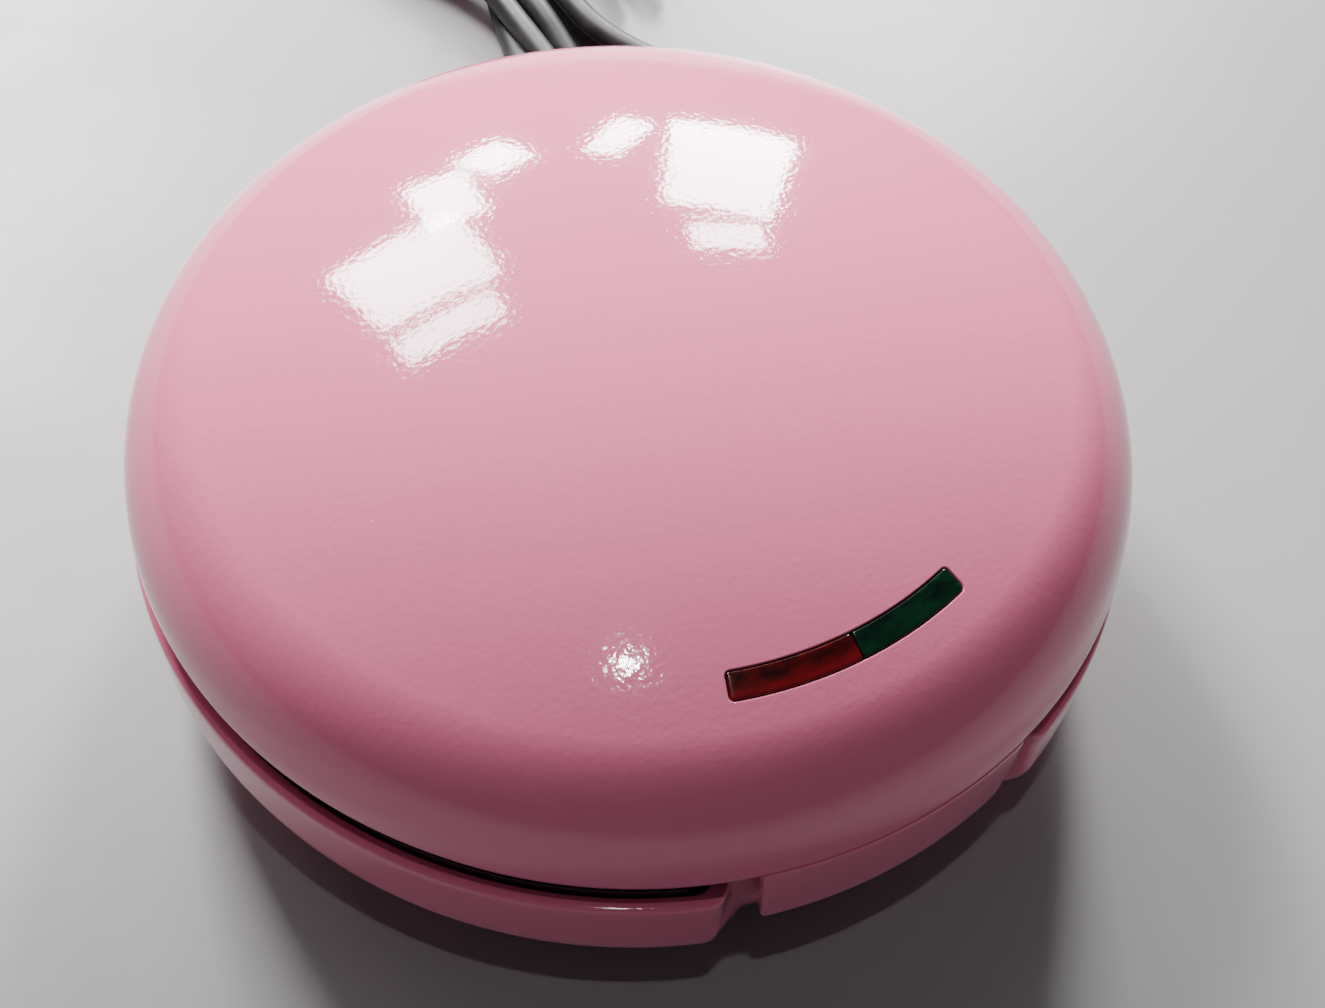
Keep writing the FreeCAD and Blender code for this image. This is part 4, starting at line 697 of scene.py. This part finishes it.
def make_lid_shell():
    """Dome, slot, skirt, grip tab and knuckle."""
    net = Net()
    outer_end, outer_slot = dome_sheet(net, 0.0, SLOT_LIP)
    inner_end, inner_slot = dome_sheet(net, LID_WALL, 0.0)

    edge_tilt = acos((EDGE_HEIGHT + EDGE_ROUND - WIDEST) / SHOULDER_RADIUS)
    edge_reach = SHOULDER_REACH + SHOULDER_RADIUS * sin(edge_tilt)
    inner_reach = SHOULDER_REACH + sqrt((SHOULDER_RADIUS - LID_WALL)**2
                                        - (WIDEST - SKIRT_HEIGHT)**2)
    skirt = inner_reach + SKIRT_WALL
    rows = [outer_end]
    for k in range(1, 5):
        tilt = radians(90) + (edge_tilt - radians(90)) * k / 4
        rows.append(net.row([dome(tilt, angle) for angle in COLUMNS]))
    for k in range(1, 8):
        turn = radians(90 * k / 7)
        reach = edge_reach - EDGE_ROUND * (1 - cos(turn))
        height = EDGE_HEIGHT + EDGE_ROUND * (1 - sin(turn))
        rows.append(net.row([around(reach, angle, height) for angle in COLUMNS]))
    for reach, height in ((skirt + 0.3, EDGE_HEIGHT), (skirt, EDGE_HEIGHT - 0.3),
                          (skirt, SKIRT_HEIGHT + 0.2), (skirt - 0.2, SKIRT_HEIGHT),
                          (inner_reach, SKIRT_HEIGHT),
                          (inner_reach + 0.25, SKIRT_HEIGHT + 2.2)):
        rows.append(net.row([around(reach, angle, height) for angle in COLUMNS]))
    rows.append(inner_end)
    net.skins(rows)

    across = PATCH_RIGHT - PATCH_LEFT
    rows = [outer_slot]
    for k in range(1, 6):
        turn = radians(90 * k / 5)
        inset = SLOT_LIP * (1 - sin(turn))
        loop = outline(SLOT_HALF_LENGTH + inset, SLOT_HALF_WIDTH + inset,
                       SLOT_CORNER + inset, across, PATCH_ROWS)
        sunk = SLOT_LIP * (1 - cos(turn))
        rows.append(net.row([on_slot(x, y, sunk) for x, y in loop]))
    rows.append(inner_slot)
    net.skins(rows)

    face = LID_RADIUS + TAB_PROUD
    half_height = (TAB_TOP - TAB_BOTTOM) / 2 - TAB_TRIM

    def on_tab(x, y, depth):
        fall = (half_height + y) / (2 * half_height)
        angle = x * (1 - TAB_TAPER * fall) / face
        return around(face - TAB_LEAN * fall - depth, angle,
                      (TAB_TOP + TAB_BOTTOM) / 2 - y)

    slab(net, TAB_HALF_ANGLE * face, half_height, TAB_CORNER, TAB_THICKNESS, TAB_EDGE,
         on_tab, along=60, across=18)

    arm = [(LID_RADIUS - ARM_SUNK, WIDEST + 5.0),
           (LID_RADIUS - ARM_SUNK, SKIRT_HEIGHT + 1.2)]
    bored_block(net, arm, -KNUCKLE_HALF, KNUCKLE_HALF, PIN_RADIUS + KNUCKLE_PLAY)
    make(net, "lid_shell", PINK, "lid", ["lid_housing"],
         surface=dome_normal)


def make_lenses():
    """Two bevelled clear blocks, end to end in the slot."""
    half_width = SLOT_HALF_WIDTH - LENS_FIT
    for name, look, start, end in (
            ("red", RED, LENS_FIT / SLOT_MIDDLE - RED_SPAN, -LENS_JOINT),
            ("green", GREEN, LENS_JOINT, GREEN_SPAN - LENS_FIT / SLOT_MIDDLE)):
        middle = (start + end) / 2
        half_length = (end - start) / 2 * SLOT_MIDDLE

        def on_lens(x, y, depth):
            return dome(SLOT_TILT + y / CROWN_RADIUS, middle + x / SLOT_MIDDLE,
                        depth - LENS_PROUD)

        net = Net()
        slab(net, half_length, half_width, LENS_CORNER, LENS_THICKNESS, LENS_EDGE, on_lens,
             along=36, across=14, edge_steps=5, back_edge=LENS_BACK_EDGE)
        make(net, name + "_window", look, "lid", [name + "_lens"])


# ---- base housing

def recess_share(arc, height):
    """How far the finger recess has drawn the wall in, at an arc from the front line.

    Its side is steepest at the rim and lies flatter further down."""
    outer_round, inner_round = RECESS_ROUNDS
    fall = max(0.0, min(1.0, (STEEP_ABOVE - height) / FLATTER_OVER))
    slant = radians(STEEP - FLATTER * fall)
    climb = RECESS_DEPTH - (outer_round + inner_round) * (1 - cos(slant))
    first = outer_round * sin(slant)
    second = first + climb / tan(slant)
    travel = RECESS_START - arc
    if travel <= 0:
        return 0.0
    if travel < first:
        drawn = outer_round - sqrt(outer_round**2 - travel**2)
    elif travel < second:
        drawn = outer_round * (1 - cos(slant)) + (travel - first) * tan(slant)
    else:
        rest = max(inner_round * sin(slant) - (travel - second), 0)
        drawn = RECESS_DEPTH - (inner_round - sqrt(inner_round**2 - rest**2))
    return drawn / RECESS_DEPTH


def arc_points(reach, height, radius, start, end, steps):
    """Points of an arc in section, by angle from straight down to straight out."""
    return [(reach + radius * sin(start + (end - start) * k / steps),
             height - radius * cos(start + (end - start) * k / steps))
            for k in range(steps + 1)]


def straight(first, last, steps):
    return [(first[0] + (last[0] - first[0]) * k / steps,
             first[1] + (last[1] - first[1]) * k / steps) for k in range(steps + 1)]


def base_profiles():
    """Outside and inside of the base in section: the round wall, and the scooped one."""
    quarter = radians(90)
    wall = RIM_RADIUS - WALL_DRAFT
    knee = wall - KNEE_RADIUS
    slope_end = arc_points(knee, KNEE_HEIGHT, KNEE_RADIUS, BOWL_SLOPE, BOWL_SLOPE, 1)[0]
    floor_reach = slope_end[0] - (slope_end[1] - FLOOR_HEIGHT) / tan(BOWL_SLOPE)
    slope_start = (floor_reach + BEND_OUT, FLOOR_HEIGHT + BEND_RISE)
    rim_low = RIM_HEIGHT - RIM_ROUND
    lip_reach = RIM_RADIUS - LIP_PROUD
    floor = straight((FLOOR_DISC, FLOOR_HEIGHT),
                     (floor_reach - BEND_IN, FLOOR_HEIGHT), 2)
    outside = (floor + straight(slope_start, slope_end, 8)
               + arc_points(knee, KNEE_HEIGHT, KNEE_RADIUS, BOWL_SLOPE, quarter, 16)[1:]
               + straight((wall, KNEE_HEIGHT), (lip_reach, LIP_LOW - 0.3), 7)[1:]
               + [(lip_reach, LIP_LOW), (RIM_RADIUS, LIP_LOW + LIP_RISE),
                  (RIM_RADIUS, rim_low)])

    recess = RIM_RADIUS - RECESS_DEPTH
    scoop = recess - SCOOP_RADIUS
    scoop_height = FLOOR_HEIGHT + (SCOOP_RADIUS + (scoop - floor_reach) * sin(BOWL_SLOPE)
                                   ) / cos(BOWL_SLOPE)
    scooped = (floor
               + arc_points(scoop, scoop_height, SCOOP_RADIUS, BOWL_SLOPE, quarter, 24)
               + straight((recess, scoop_height), (recess, rim_low), 10)[1:])

    turns = [radians(90 * k / 6) for k in range(1, 7)]
    lip = [(RIM_RADIUS - RIM_ROUND * (1 - cos(turn)), rim_low + RIM_ROUND * sin(turn))
           for turn in turns]
    lip.append((RIM_RADIUS - RIM_ROUND - 0.6, RIM_HEIGHT))
    outside += lip
    scooped += [(reach - RECESS_DEPTH, height) for reach, height in lip]

    inner_rim = RIM_RADIUS - RIM_WIDTH
    ledge = inner_rim - LEDGE_WIDTH
    inside = [(inner_rim + RIM_EDGE, RIM_HEIGHT), (inner_rim, RIM_HEIGHT - RIM_EDGE),
              (inner_rim, LEDGE_TOP), (ledge, LEDGE_TOP), (ledge, LEDGE_TOP - LEDGE_DEPTH),
              (wall - BASE_WALL, LEDGE_TOP - 2 * LEDGE_DEPTH)]
    inside += arc_points(knee, KNEE_HEIGHT, KNEE_RADIUS - BASE_WALL, quarter, BOWL_SLOPE, 8)
    inside += [(FLOOR_DISC, FLOOR_HEIGHT + BASE_WALL)]
    recess_inner = recess - BASE_WALL
    hollow = [(recess_inner + RIM_EDGE, RIM_HEIGHT), (recess_inner, RIM_HEIGHT - RIM_EDGE),
              (recess_inner, LEDGE_TOP), (recess_inner, LEDGE_TOP - 0.5),
              (recess_inner, LEDGE_TOP - 1.5), (recess_inner, scoop_height + 0.2)]
    hollow += arc_points(scoop, scoop_height, SCOOP_RADIUS - BASE_WALL, quarter,
                         BOWL_SLOPE, 8)
    hollow += [(FLOOR_DISC - 0.3, FLOOR_HEIGHT + BASE_WALL)]
    return outside, scooped, inside, hollow


def floor_plate(net):
    """Middle of the base's floor: a disc with the vents and the screw wells."""
    flat = bpy.data.curves.new("floor_outline", "CURVE")
    flat.dimensions, flat.fill_mode = "2D", "BOTH"
    flat.extrude, flat.bevel_depth = BASE_WALL / 2 - FLOOR_EDGE, FLOOR_EDGE
    flat.bevel_resolution = 2

    def loop(points):
        spline = flat.splines.new("POLY")
        spline.points.add(len(points) - 1)
        for spot, (x, y) in zip(spline.points, points):
            spot.co = (x, y, 0, 1)
        spline.use_cyclic_u = True

    loop([around(FLOOR_DISC + 0.05, radians(3 * k), 0)[:2] for k in range(120)])
    for number in range(VENTS):
        bearing = 2 * pi * number / VENTS
        way = Vector((cos(bearing), sin(bearing), 0))
        side = Vector((-way.y, way.x, 0))
        points = []
        for end, radius in ((VENT_OUTER, VENT_HALF_WIDTH), (VENT_INNER, -VENT_HALF_WIDTH)):
            for k in range(9):
                turn = radians(-90 + 22.5 * k)
                spot = way * (end + radius * cos(turn)) + side * (radius * sin(turn))
                points.append((spot.x, spot.y))
        loop(points)
    well = SCREW_WELL + FLOOR_EDGE
    for angle in SCREW_BEARINGS:
        middle = Vector((cos(radians(angle)), sin(radians(angle)))) * SCREW_CIRCLE
        loop([(middle.x + well * cos(radians(15 * k)),
               middle.y + well * sin(radians(15 * k))) for k in range(24)])
    helper = bpy.data.objects.new("floor_outline", flat)
    mesh = bpy.data.meshes.new_from_object(helper)
    plate = Net()
    plate.points = [(v.co.x, v.co.y, v.co.z + FLOOR_HEIGHT + BASE_WALL / 2)
                    for v in mesh.vertices]
    plate.faces = [tuple(face.vertices) for face in mesh.polygons]
    merge(net, plate)
    bpy.data.objects.remove(helper)
    bpy.data.curves.remove(flat)
    bpy.data.meshes.remove(mesh)


def make_base_shell():
    """Bowl, finger recess, floor, hinge ears and cord boss."""
    net = Net()
    fine = 4 * FINE_DEGREES
    degrees = sorted({k / 4 for k in range(-fine, fine + 1)}
                     | {float(k) for k in range(-180, 180)})
    columns = [radians(value) for value in degrees]
    outside, scooped, inside, hollow = base_profiles()
    rows = []
    for plain, drawn, shift in ((outside, scooped, 0.0),
                                (inside, hollow, INNER_SHIFT)):
        for (reach, height), (near, low) in zip(plain, drawn):
            share = [recess_share(abs(angle) * RIM_RADIUS - shift, height)
                     for angle in columns]
            rows.append(net.row([around(reach + (near - reach) * part, angle,
                                        height + (low - height) * part)
                                 for angle, part in zip(columns, share)]))
    net.skins(rows + [rows[0]])
    floor_plate(net)

    foot = [(RIM_RADIUS - EAR_SUNK, 34.0), (RIM_RADIUS - EAR_SUNK, RIM_HEIGHT - 0.4)]
    for low_x in (-HINGE_HALF, HINGE_HALF - EAR_WIDTH):
        bored_block(net, foot, low_x, low_x + EAR_WIDTH, PIN_RADIUS + EAR_PLAY)

    way = around(1, pi - EXIT_ANGLE, 0)
    root = BOSS_FACE - BOSS_LENGTH
    turned(net, (0, 0, EXIT_HEIGHT), way, [
        (root, 0), (root, BOSS_RADIUS), (BOSS_FACE - BOSS_ROUND, BOSS_RADIUS),
        (BOSS_FACE - 0.2, BOSS_RADIUS - 0.2), (BOSS_FACE, BOSS_RADIUS - BOSS_ROUND),
        (BOSS_FACE, 0)])
    make(net, "base_shell", PINK, "base", ["base_housing"], sharp=42)


def make_feet():
    """Four rubber feet with a rounded tread and a hollow underneath."""
    low, high = [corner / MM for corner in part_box("rubber_feet")]
    radius = FOOT_RADIUS
    circle = sqrt(2) * ((high.x - low.x) / 2 - radius)
    net = Net()
    for quarter in range(4):
        angle = radians(45 + 90 * quarter)
        middle = (circle * cos(angle), circle * sin(angle), 0)
        turned(net, middle, (0, 0, 1), [
            (1.1, 0), (1.1, 3.2), (0.2, 4.0), (0, 4.6), (0, radius - 1.0),
            (0.3, radius - 0.3), (1.0, radius), (6.8, radius - 0.6), (7.7, radius - 1.0),
            (8.0, radius - 1.6), (8.0, 0)])
    make(net, "tread_feet", RUBBER, "base", ["rubber_feet"])


# ---- the cord

# The cord's middle line, in the frame's own millimetres; the hank lies on two levels.
HANK_LEVELS = (3.5, 10.5)
FOLD_RADIUS, LAST_FOLD_RADIUS = 19.5, 29.75
FAR_FOLD, NEAR_FOLD, LAST_FOLD = (74.0, 226.0), (81.0, 108.5), (77.25, 225.0)
CORD_ROUTE = [(42.48, 110.71, 17.5), (47.95, 125.75, 17.5), (53.0, 140.6, 12.6),
              (57.6, 155.4, 6.6), (62.0, 170.5, 3.6), (66.3, 184.5, 3.5)]


def fold(middle, radius, first, last, low, high, steps):
    """Points round one end of the hank, from one bearing to another."""
    points = []
    for k in range(steps + 1):
        bearing = radians(first + (last - first) * k / steps)
        points.append((middle[0] + radius * cos(bearing),
                       middle[1] + radius * sin(bearing),
                       low + (high - low) * k / steps))
    return points


def hank_route():
    """Two and a half laps of the hank, flat on each other, ending at the plug's back."""
    low, high = HANK_LEVELS
    route = [(69.8, 198.0, low)]
    for level in (low, high):
        route += fold(FAR_FOLD, FOLD_RADIUS, 208, -28, level, level, 11)
        route += [(80.6, 197.0, level), (80.0, 178.0, level), (80.2, 148.0, level)]
        if level == low:
            route += fold(NEAR_FOLD, FOLD_RADIUS, 28, -206, level, level, 11)
            route += [(70.0, 134.0, low + 0.6), (70.8, 150.0, 6.6), (70.6, 166.0, 10.2),
                      (70.2, 182.0, high), (69.8, 198.0, high)]
        else:
            route += fold(NEAR_FOLD, FOLD_RADIUS, 28, -182, level, level, 10)
    route += [(62.8, 134.0, high), (62.6, 160.0, high), (62.8, 188.0, high)]
    route += fold(LAST_FOLD, LAST_FOLD_RADIUS, 196, 12, 8.6, 7.5, 10)
    route += [(107.0, 226.0, 7.5), (107.0, 219.5, 7.5)]
    return route


def make_cord():
    """The lead as one smooth curve."""
    line = bpy.data.curves.new("mains_lead", "CURVE")
    line.dimensions = "3D"
    line.bevel_depth = CORD_DIAMETER / 2 * MM
    line.bevel_resolution = 5
    line.use_fill_caps = True
    points = CORD_ROUTE + hank_route()
    spline = line.splines.new("NURBS")
    spline.points.add(len(points) - 1)
    for spot, point in zip(spline.points, points):
        spot.co = (*(Vector(point) * MM), 1)
    spline.order_u = 3
    spline.use_endpoint_u = True
    spline.resolution_u = 10
    line.materials.append(SHEATH)
    return finish_piece(add("mains_lead", line), "base",
                        ["mains_cord", "cord_hank"])


def make_strain_relief():
    """Tapered rubber sleeve with a collar and flexing ribs."""
    way = around(1, pi - EXIT_ANGLE, 0)
    start = BOSS_FACE + GLAND_FIT
    profile = [(start - GLAND_ROOT, 0), (start - GLAND_ROOT, 5.2), (start, 5.2),
               (start, COLLAR_RADIUS - 0.3), (start + 0.3, COLLAR_RADIUS),
               (start + COLLAR_LENGTH - 0.3, COLLAR_RADIUS),
               (start + COLLAR_LENGTH, COLLAR_RADIUS - 0.3),
               (start + COLLAR_LENGTH + 0.2, COLLAR_RADIUS - 1.2)]
    for number in range(RIBS):
        near = start + RIB_START + RIB_PITCH * number
        size = RIB_RADIUS - RIB_SHRINK * number
        profile += [(near + on, size - under) for on, under in (
            (0, 0.1), (0.2, 0), (1.6, 0.1), (1.8, 0.25), (1.95, 1.15), (3.0, 1.2))]
    tip = BOSS_FACE + GLAND_LENGTH
    profile += [(tip - under, radius) for under, radius in (
        (2.0, 4.7), (0.3, 4.55), (0, 4.25), (0, 3.6), (2, 3.5), (2, 0))]
    net = Net()
    turned(net, (0, 0, EXIT_HEIGHT), way, profile)
    return make(net, "cord_sleeve", RUBBER, "base", ["strain_relief"])


def tube(net, points, radius, steps=12):
    """Round wire through points, with closed ends."""
    rows = []
    for k, point in enumerate(points):
        after, before = points[min(k + 1, len(points) - 1)], points[max(k - 1, 0)]
        ahead = (Vector(after) - Vector(before)).normalized()
        side = ahead.cross(Vector((0, 0.3, 1))).normalized()
        other = ahead.cross(side)
        rows.append(net.row([tuple(Vector(point) + (side * cos(2 * pi * j / steps)
                                                    + other * sin(2 * pi * j / steps))
                                   * radius) for j in range(steps)]))
    net.skins(rows)
    net.cap(rows[0])
    net.cap(rows[-1])


def in_frame(point):
    """A point given in the frame, in working millimetres about the dome's axis."""
    return (point[0], point[1] - AXIS_Y, point[2])


def make_tie():
    """Coated twist tie: a flat strap round the hank, with its two ends twisted."""
    low, high = [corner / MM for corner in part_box("cord_tie")]
    middle = (low + high) / 2
    half_x = (high.x - low.x) / 2 - TIE_FIT
    half_z = (high.z - low.z) / 2 - TIE_FIT
    half_y = TIE_HALF_WIDTH
    net = Net()
    rows = []
    loop = outline(half_x, half_z, 5.0, 24, 12)
    inner = outline(half_x - TIE_STRAP, half_z - TIE_STRAP, 4.2, 24, 12)
    for y, shrink in ((-half_y, TIE_EDGE), (-half_y + TIE_EDGE, 0), (-TIE_GROOVE_HALF, 0),
                      (0, TIE_GROOVE), (TIE_GROOVE_HALF, 0), (half_y - TIE_EDGE, 0),
                      (half_y, TIE_EDGE)):
        rows.append(net.row([
            in_frame((middle.x + ox + (ix - ox) * shrink, middle.y + y,
                      middle.z + oz + (iz - oz) * shrink))
            for (ox, oz), (ix, iz) in zip(loop, inner)]))
    for y in (half_y, -half_y):
        rows.append(net.row([in_frame((middle.x + ix, middle.y + y, middle.z + iz))
                             for ix, iz in inner]))
    net.skins(rows + [rows[0]])
    for phase in (0, pi):
        points = []
        for k in range(37):
            share = k / 36
            turn = phase + 2 * pi * TWISTS * share
            past = max(share - FLARE_FROM, 0) / (1 - FLARE_FROM)
            swing = 1.0 + FLARE * past
            points.append(in_frame((
                low.x + TWIST_START + TWIST_LENGTH * share,
                middle.y + 1.2 * sin(turn) * swing,
                high.z + 1.0 + cos(turn) + 1.2 * sin(pi * share))))
        tube(net, points, TIE_WIRE)
    return make(net, "twist_tie", PLUG_LOOK, "base", ["cord_tie"])


def make_plug():
    """Moulded two-blade plug: waisted grip with finger ribs, and a ribbed neck."""
    low, high = [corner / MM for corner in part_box("plug_body")]
    blade_low, blade_high = [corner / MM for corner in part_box("plug_blades")]
    middle_x, middle_z = (low.x + high.x) / 2, (low.z + high.z) / 2
    front, shoulder = low.y, high.y - PLUG_NECK
    half_x, half_y = (high.x - low.x) / 2, (shoulder - front) / 2
    middle_y = (front + shoulder) / 2
    depth = high.z - low.z
    net = Net()

    def on_grip(x, y, down):
        share = (y + half_y) / (2 * half_y)
        waist = (1 - WAIST_DEPTH * sin(pi * min(share * WAIST_STRETCH, 1.0))**2
                 - WAIST_TAPER * max(share - WAIST_TAPER_FROM, 0))
        thinning = THINNING * max(share - THINNING_FROM, 0)
        lift = (depth / 2 - down) * (1 - thinning)
        ridge = 0.0
        if RIDGE_FROM < share < RIDGE_TO and abs(x) > half_x * RIDGE_SIDE:
            ridge = RIDGE_HEIGHT * sin(share * 2 * pi * RIDGES)
        return in_frame((middle_x + x * waist + copysign(ridge, x),
                         middle_y + y, middle_z + lift))

    slab(net, half_x, half_y, PLUG_CORNER, depth, PLUG_EDGE, on_grip, along=30, across=72,
         edge_steps=6)
    profile = [(-3, 0), (-3, 5.6)]
    for number in range(3):
        near = 0.3 + 2.4 * number
        size = 5.5 - 0.3 * number
        profile += [(near + on, size - under) for on, under in (
            (0, 0), (1.2, 0.05), (1.4, 0.8), (2.2, 0.8))]
    profile += [(PLUG_NECK - 0.3, 4.4), (PLUG_NECK, 4.1), (PLUG_NECK, 0)]
    turned(net, in_frame((middle_x, shoulder, middle_z)), (0, 1, 0), profile, 40)
    body = make(net, "plug_moulding", PLUG_LOOK, "base", ["plug_body"])

    net = Net()
    apart = (blade_high.x - blade_low.x) / 2 - BLADE_HALF_THICK
    half_long = (blade_high.y - blade_low.y) / 2 + BLADE_ROOT
    for side in (-1, 1):
        def on_blade(x, y, down):
            share = (y + half_long) / (2 * half_long)
            taper = 1 - TIP_TAPER * max(TIP_SHARE - share, 0) / TIP_SHARE
            return in_frame((middle_x + side * apart + (BLADE_HALF_THICK - down) * taper,
                             blade_low.y + half_long + y, middle_z + x))

        slab(net, BLADE_HALF_WIDTH, half_long, 0.9, 2 * BLADE_HALF_THICK, 0.25, on_blade,
             along=14, across=24)
    blades = make(net, "blade_pair", BRASS, "base", ["plug_blades"])
    return body, blades


# ---- stage and camera

def make_camera():
    data = bpy.data.cameras.new("view")
    data.sensor_width = CAMERA_SENSOR
    data.lens = CAMERA_LENS
    data.clip_end = 20
    camera = add("view", data)
    ahead = Vector(CAMERA_AHEAD).normalized()
    right = ahead.cross(Vector((0, 0, 1))).normalized()
    upward = right.cross(ahead)
    side = right * cos(CAMERA_ROLL) + upward * sin(CAMERA_ROLL)
    top = upward * cos(CAMERA_ROLL) - right * sin(CAMERA_ROLL)
    turn = Matrix((side, top, -ahead)).transposed()
    camera.matrix_world = Matrix.Translation(place(CAMERA_SPOT)) @ turn.to_4x4()
    bpy.context.scene.camera = camera


def panel_light(name, seen_at, azimuth, elevation, wide, tall, power, roll=0.0,
                distance=1.5):
    """Soft panel whose reflection shows at a point of the dome, sized in degrees."""
    data = bpy.data.lights.new(name, "AREA")
    data.shape = "RECTANGLE"
    data.size = 2 * distance * tan(radians(wide / 2))
    data.size_y = 2 * distance * tan(radians(tall / 2))
    data.energy = power
    data.color = (1.0, 0.99, 0.97)
    lamp = add(name, data)
    bearing, rise = radians(azimuth), radians(elevation)
    way = Vector((sin(bearing) * cos(rise), cos(bearing) * cos(rise), sin(rise)))
    lamp.location = place(seen_at) + way * distance
    lamp.rotation_euler = (way.to_track_quat("Z", "Y").to_matrix()
                           @ Matrix.Rotation(radians(roll), 3, "Z")).to_euler()
    return lamp


def make_lights():
    """Windows, ceiling lamp, and a sky that leaves no highlight."""
    for window in WINDOWS:
        panel_light(*window)
    panel_light("ceiling_lamp", (-41, -67, 86), -151.7, 79.6, 2.2, 1.3, 1.5,
                distance=1.2)
    sky = panel_light("soft_sky", (0, 0, 100), 8, 48, 60, 40, 15, distance=2.2)
    sky.visible_glossy = False
    world = bpy.data.worlds.new("studio")
    bpy.context.scene.world = world
    world.use_nodes = True
    background = world.node_tree.nodes["Background"]
    background.inputs["Color"].default_value = SKY_TINT
    background.inputs["Strength"].default_value = SKY_STRENGTH


def make_floor():
    mesh = bpy.data.meshes.new("floor")
    corners = ((-1, -1), (1, -1), (1, 1), (-1, 1))
    mesh.from_pydata([(x * FLOOR_REACH, y * FLOOR_REACH, 0) for x, y in corners], [],
                     [(0, 1, 2, 3)])
    mesh.materials.append(pale_floor())
    floor = add("floor", mesh)


# ---- the object

make_camera()
lead = make_cord()
sleeve = make_strain_relief()
tie = make_tie()
plug, blades = make_plug()
make_lid_shell()
make_lenses()
make_base_shell()
make_feet()
dress_frame_nodes()
make_floor()
make_lights()
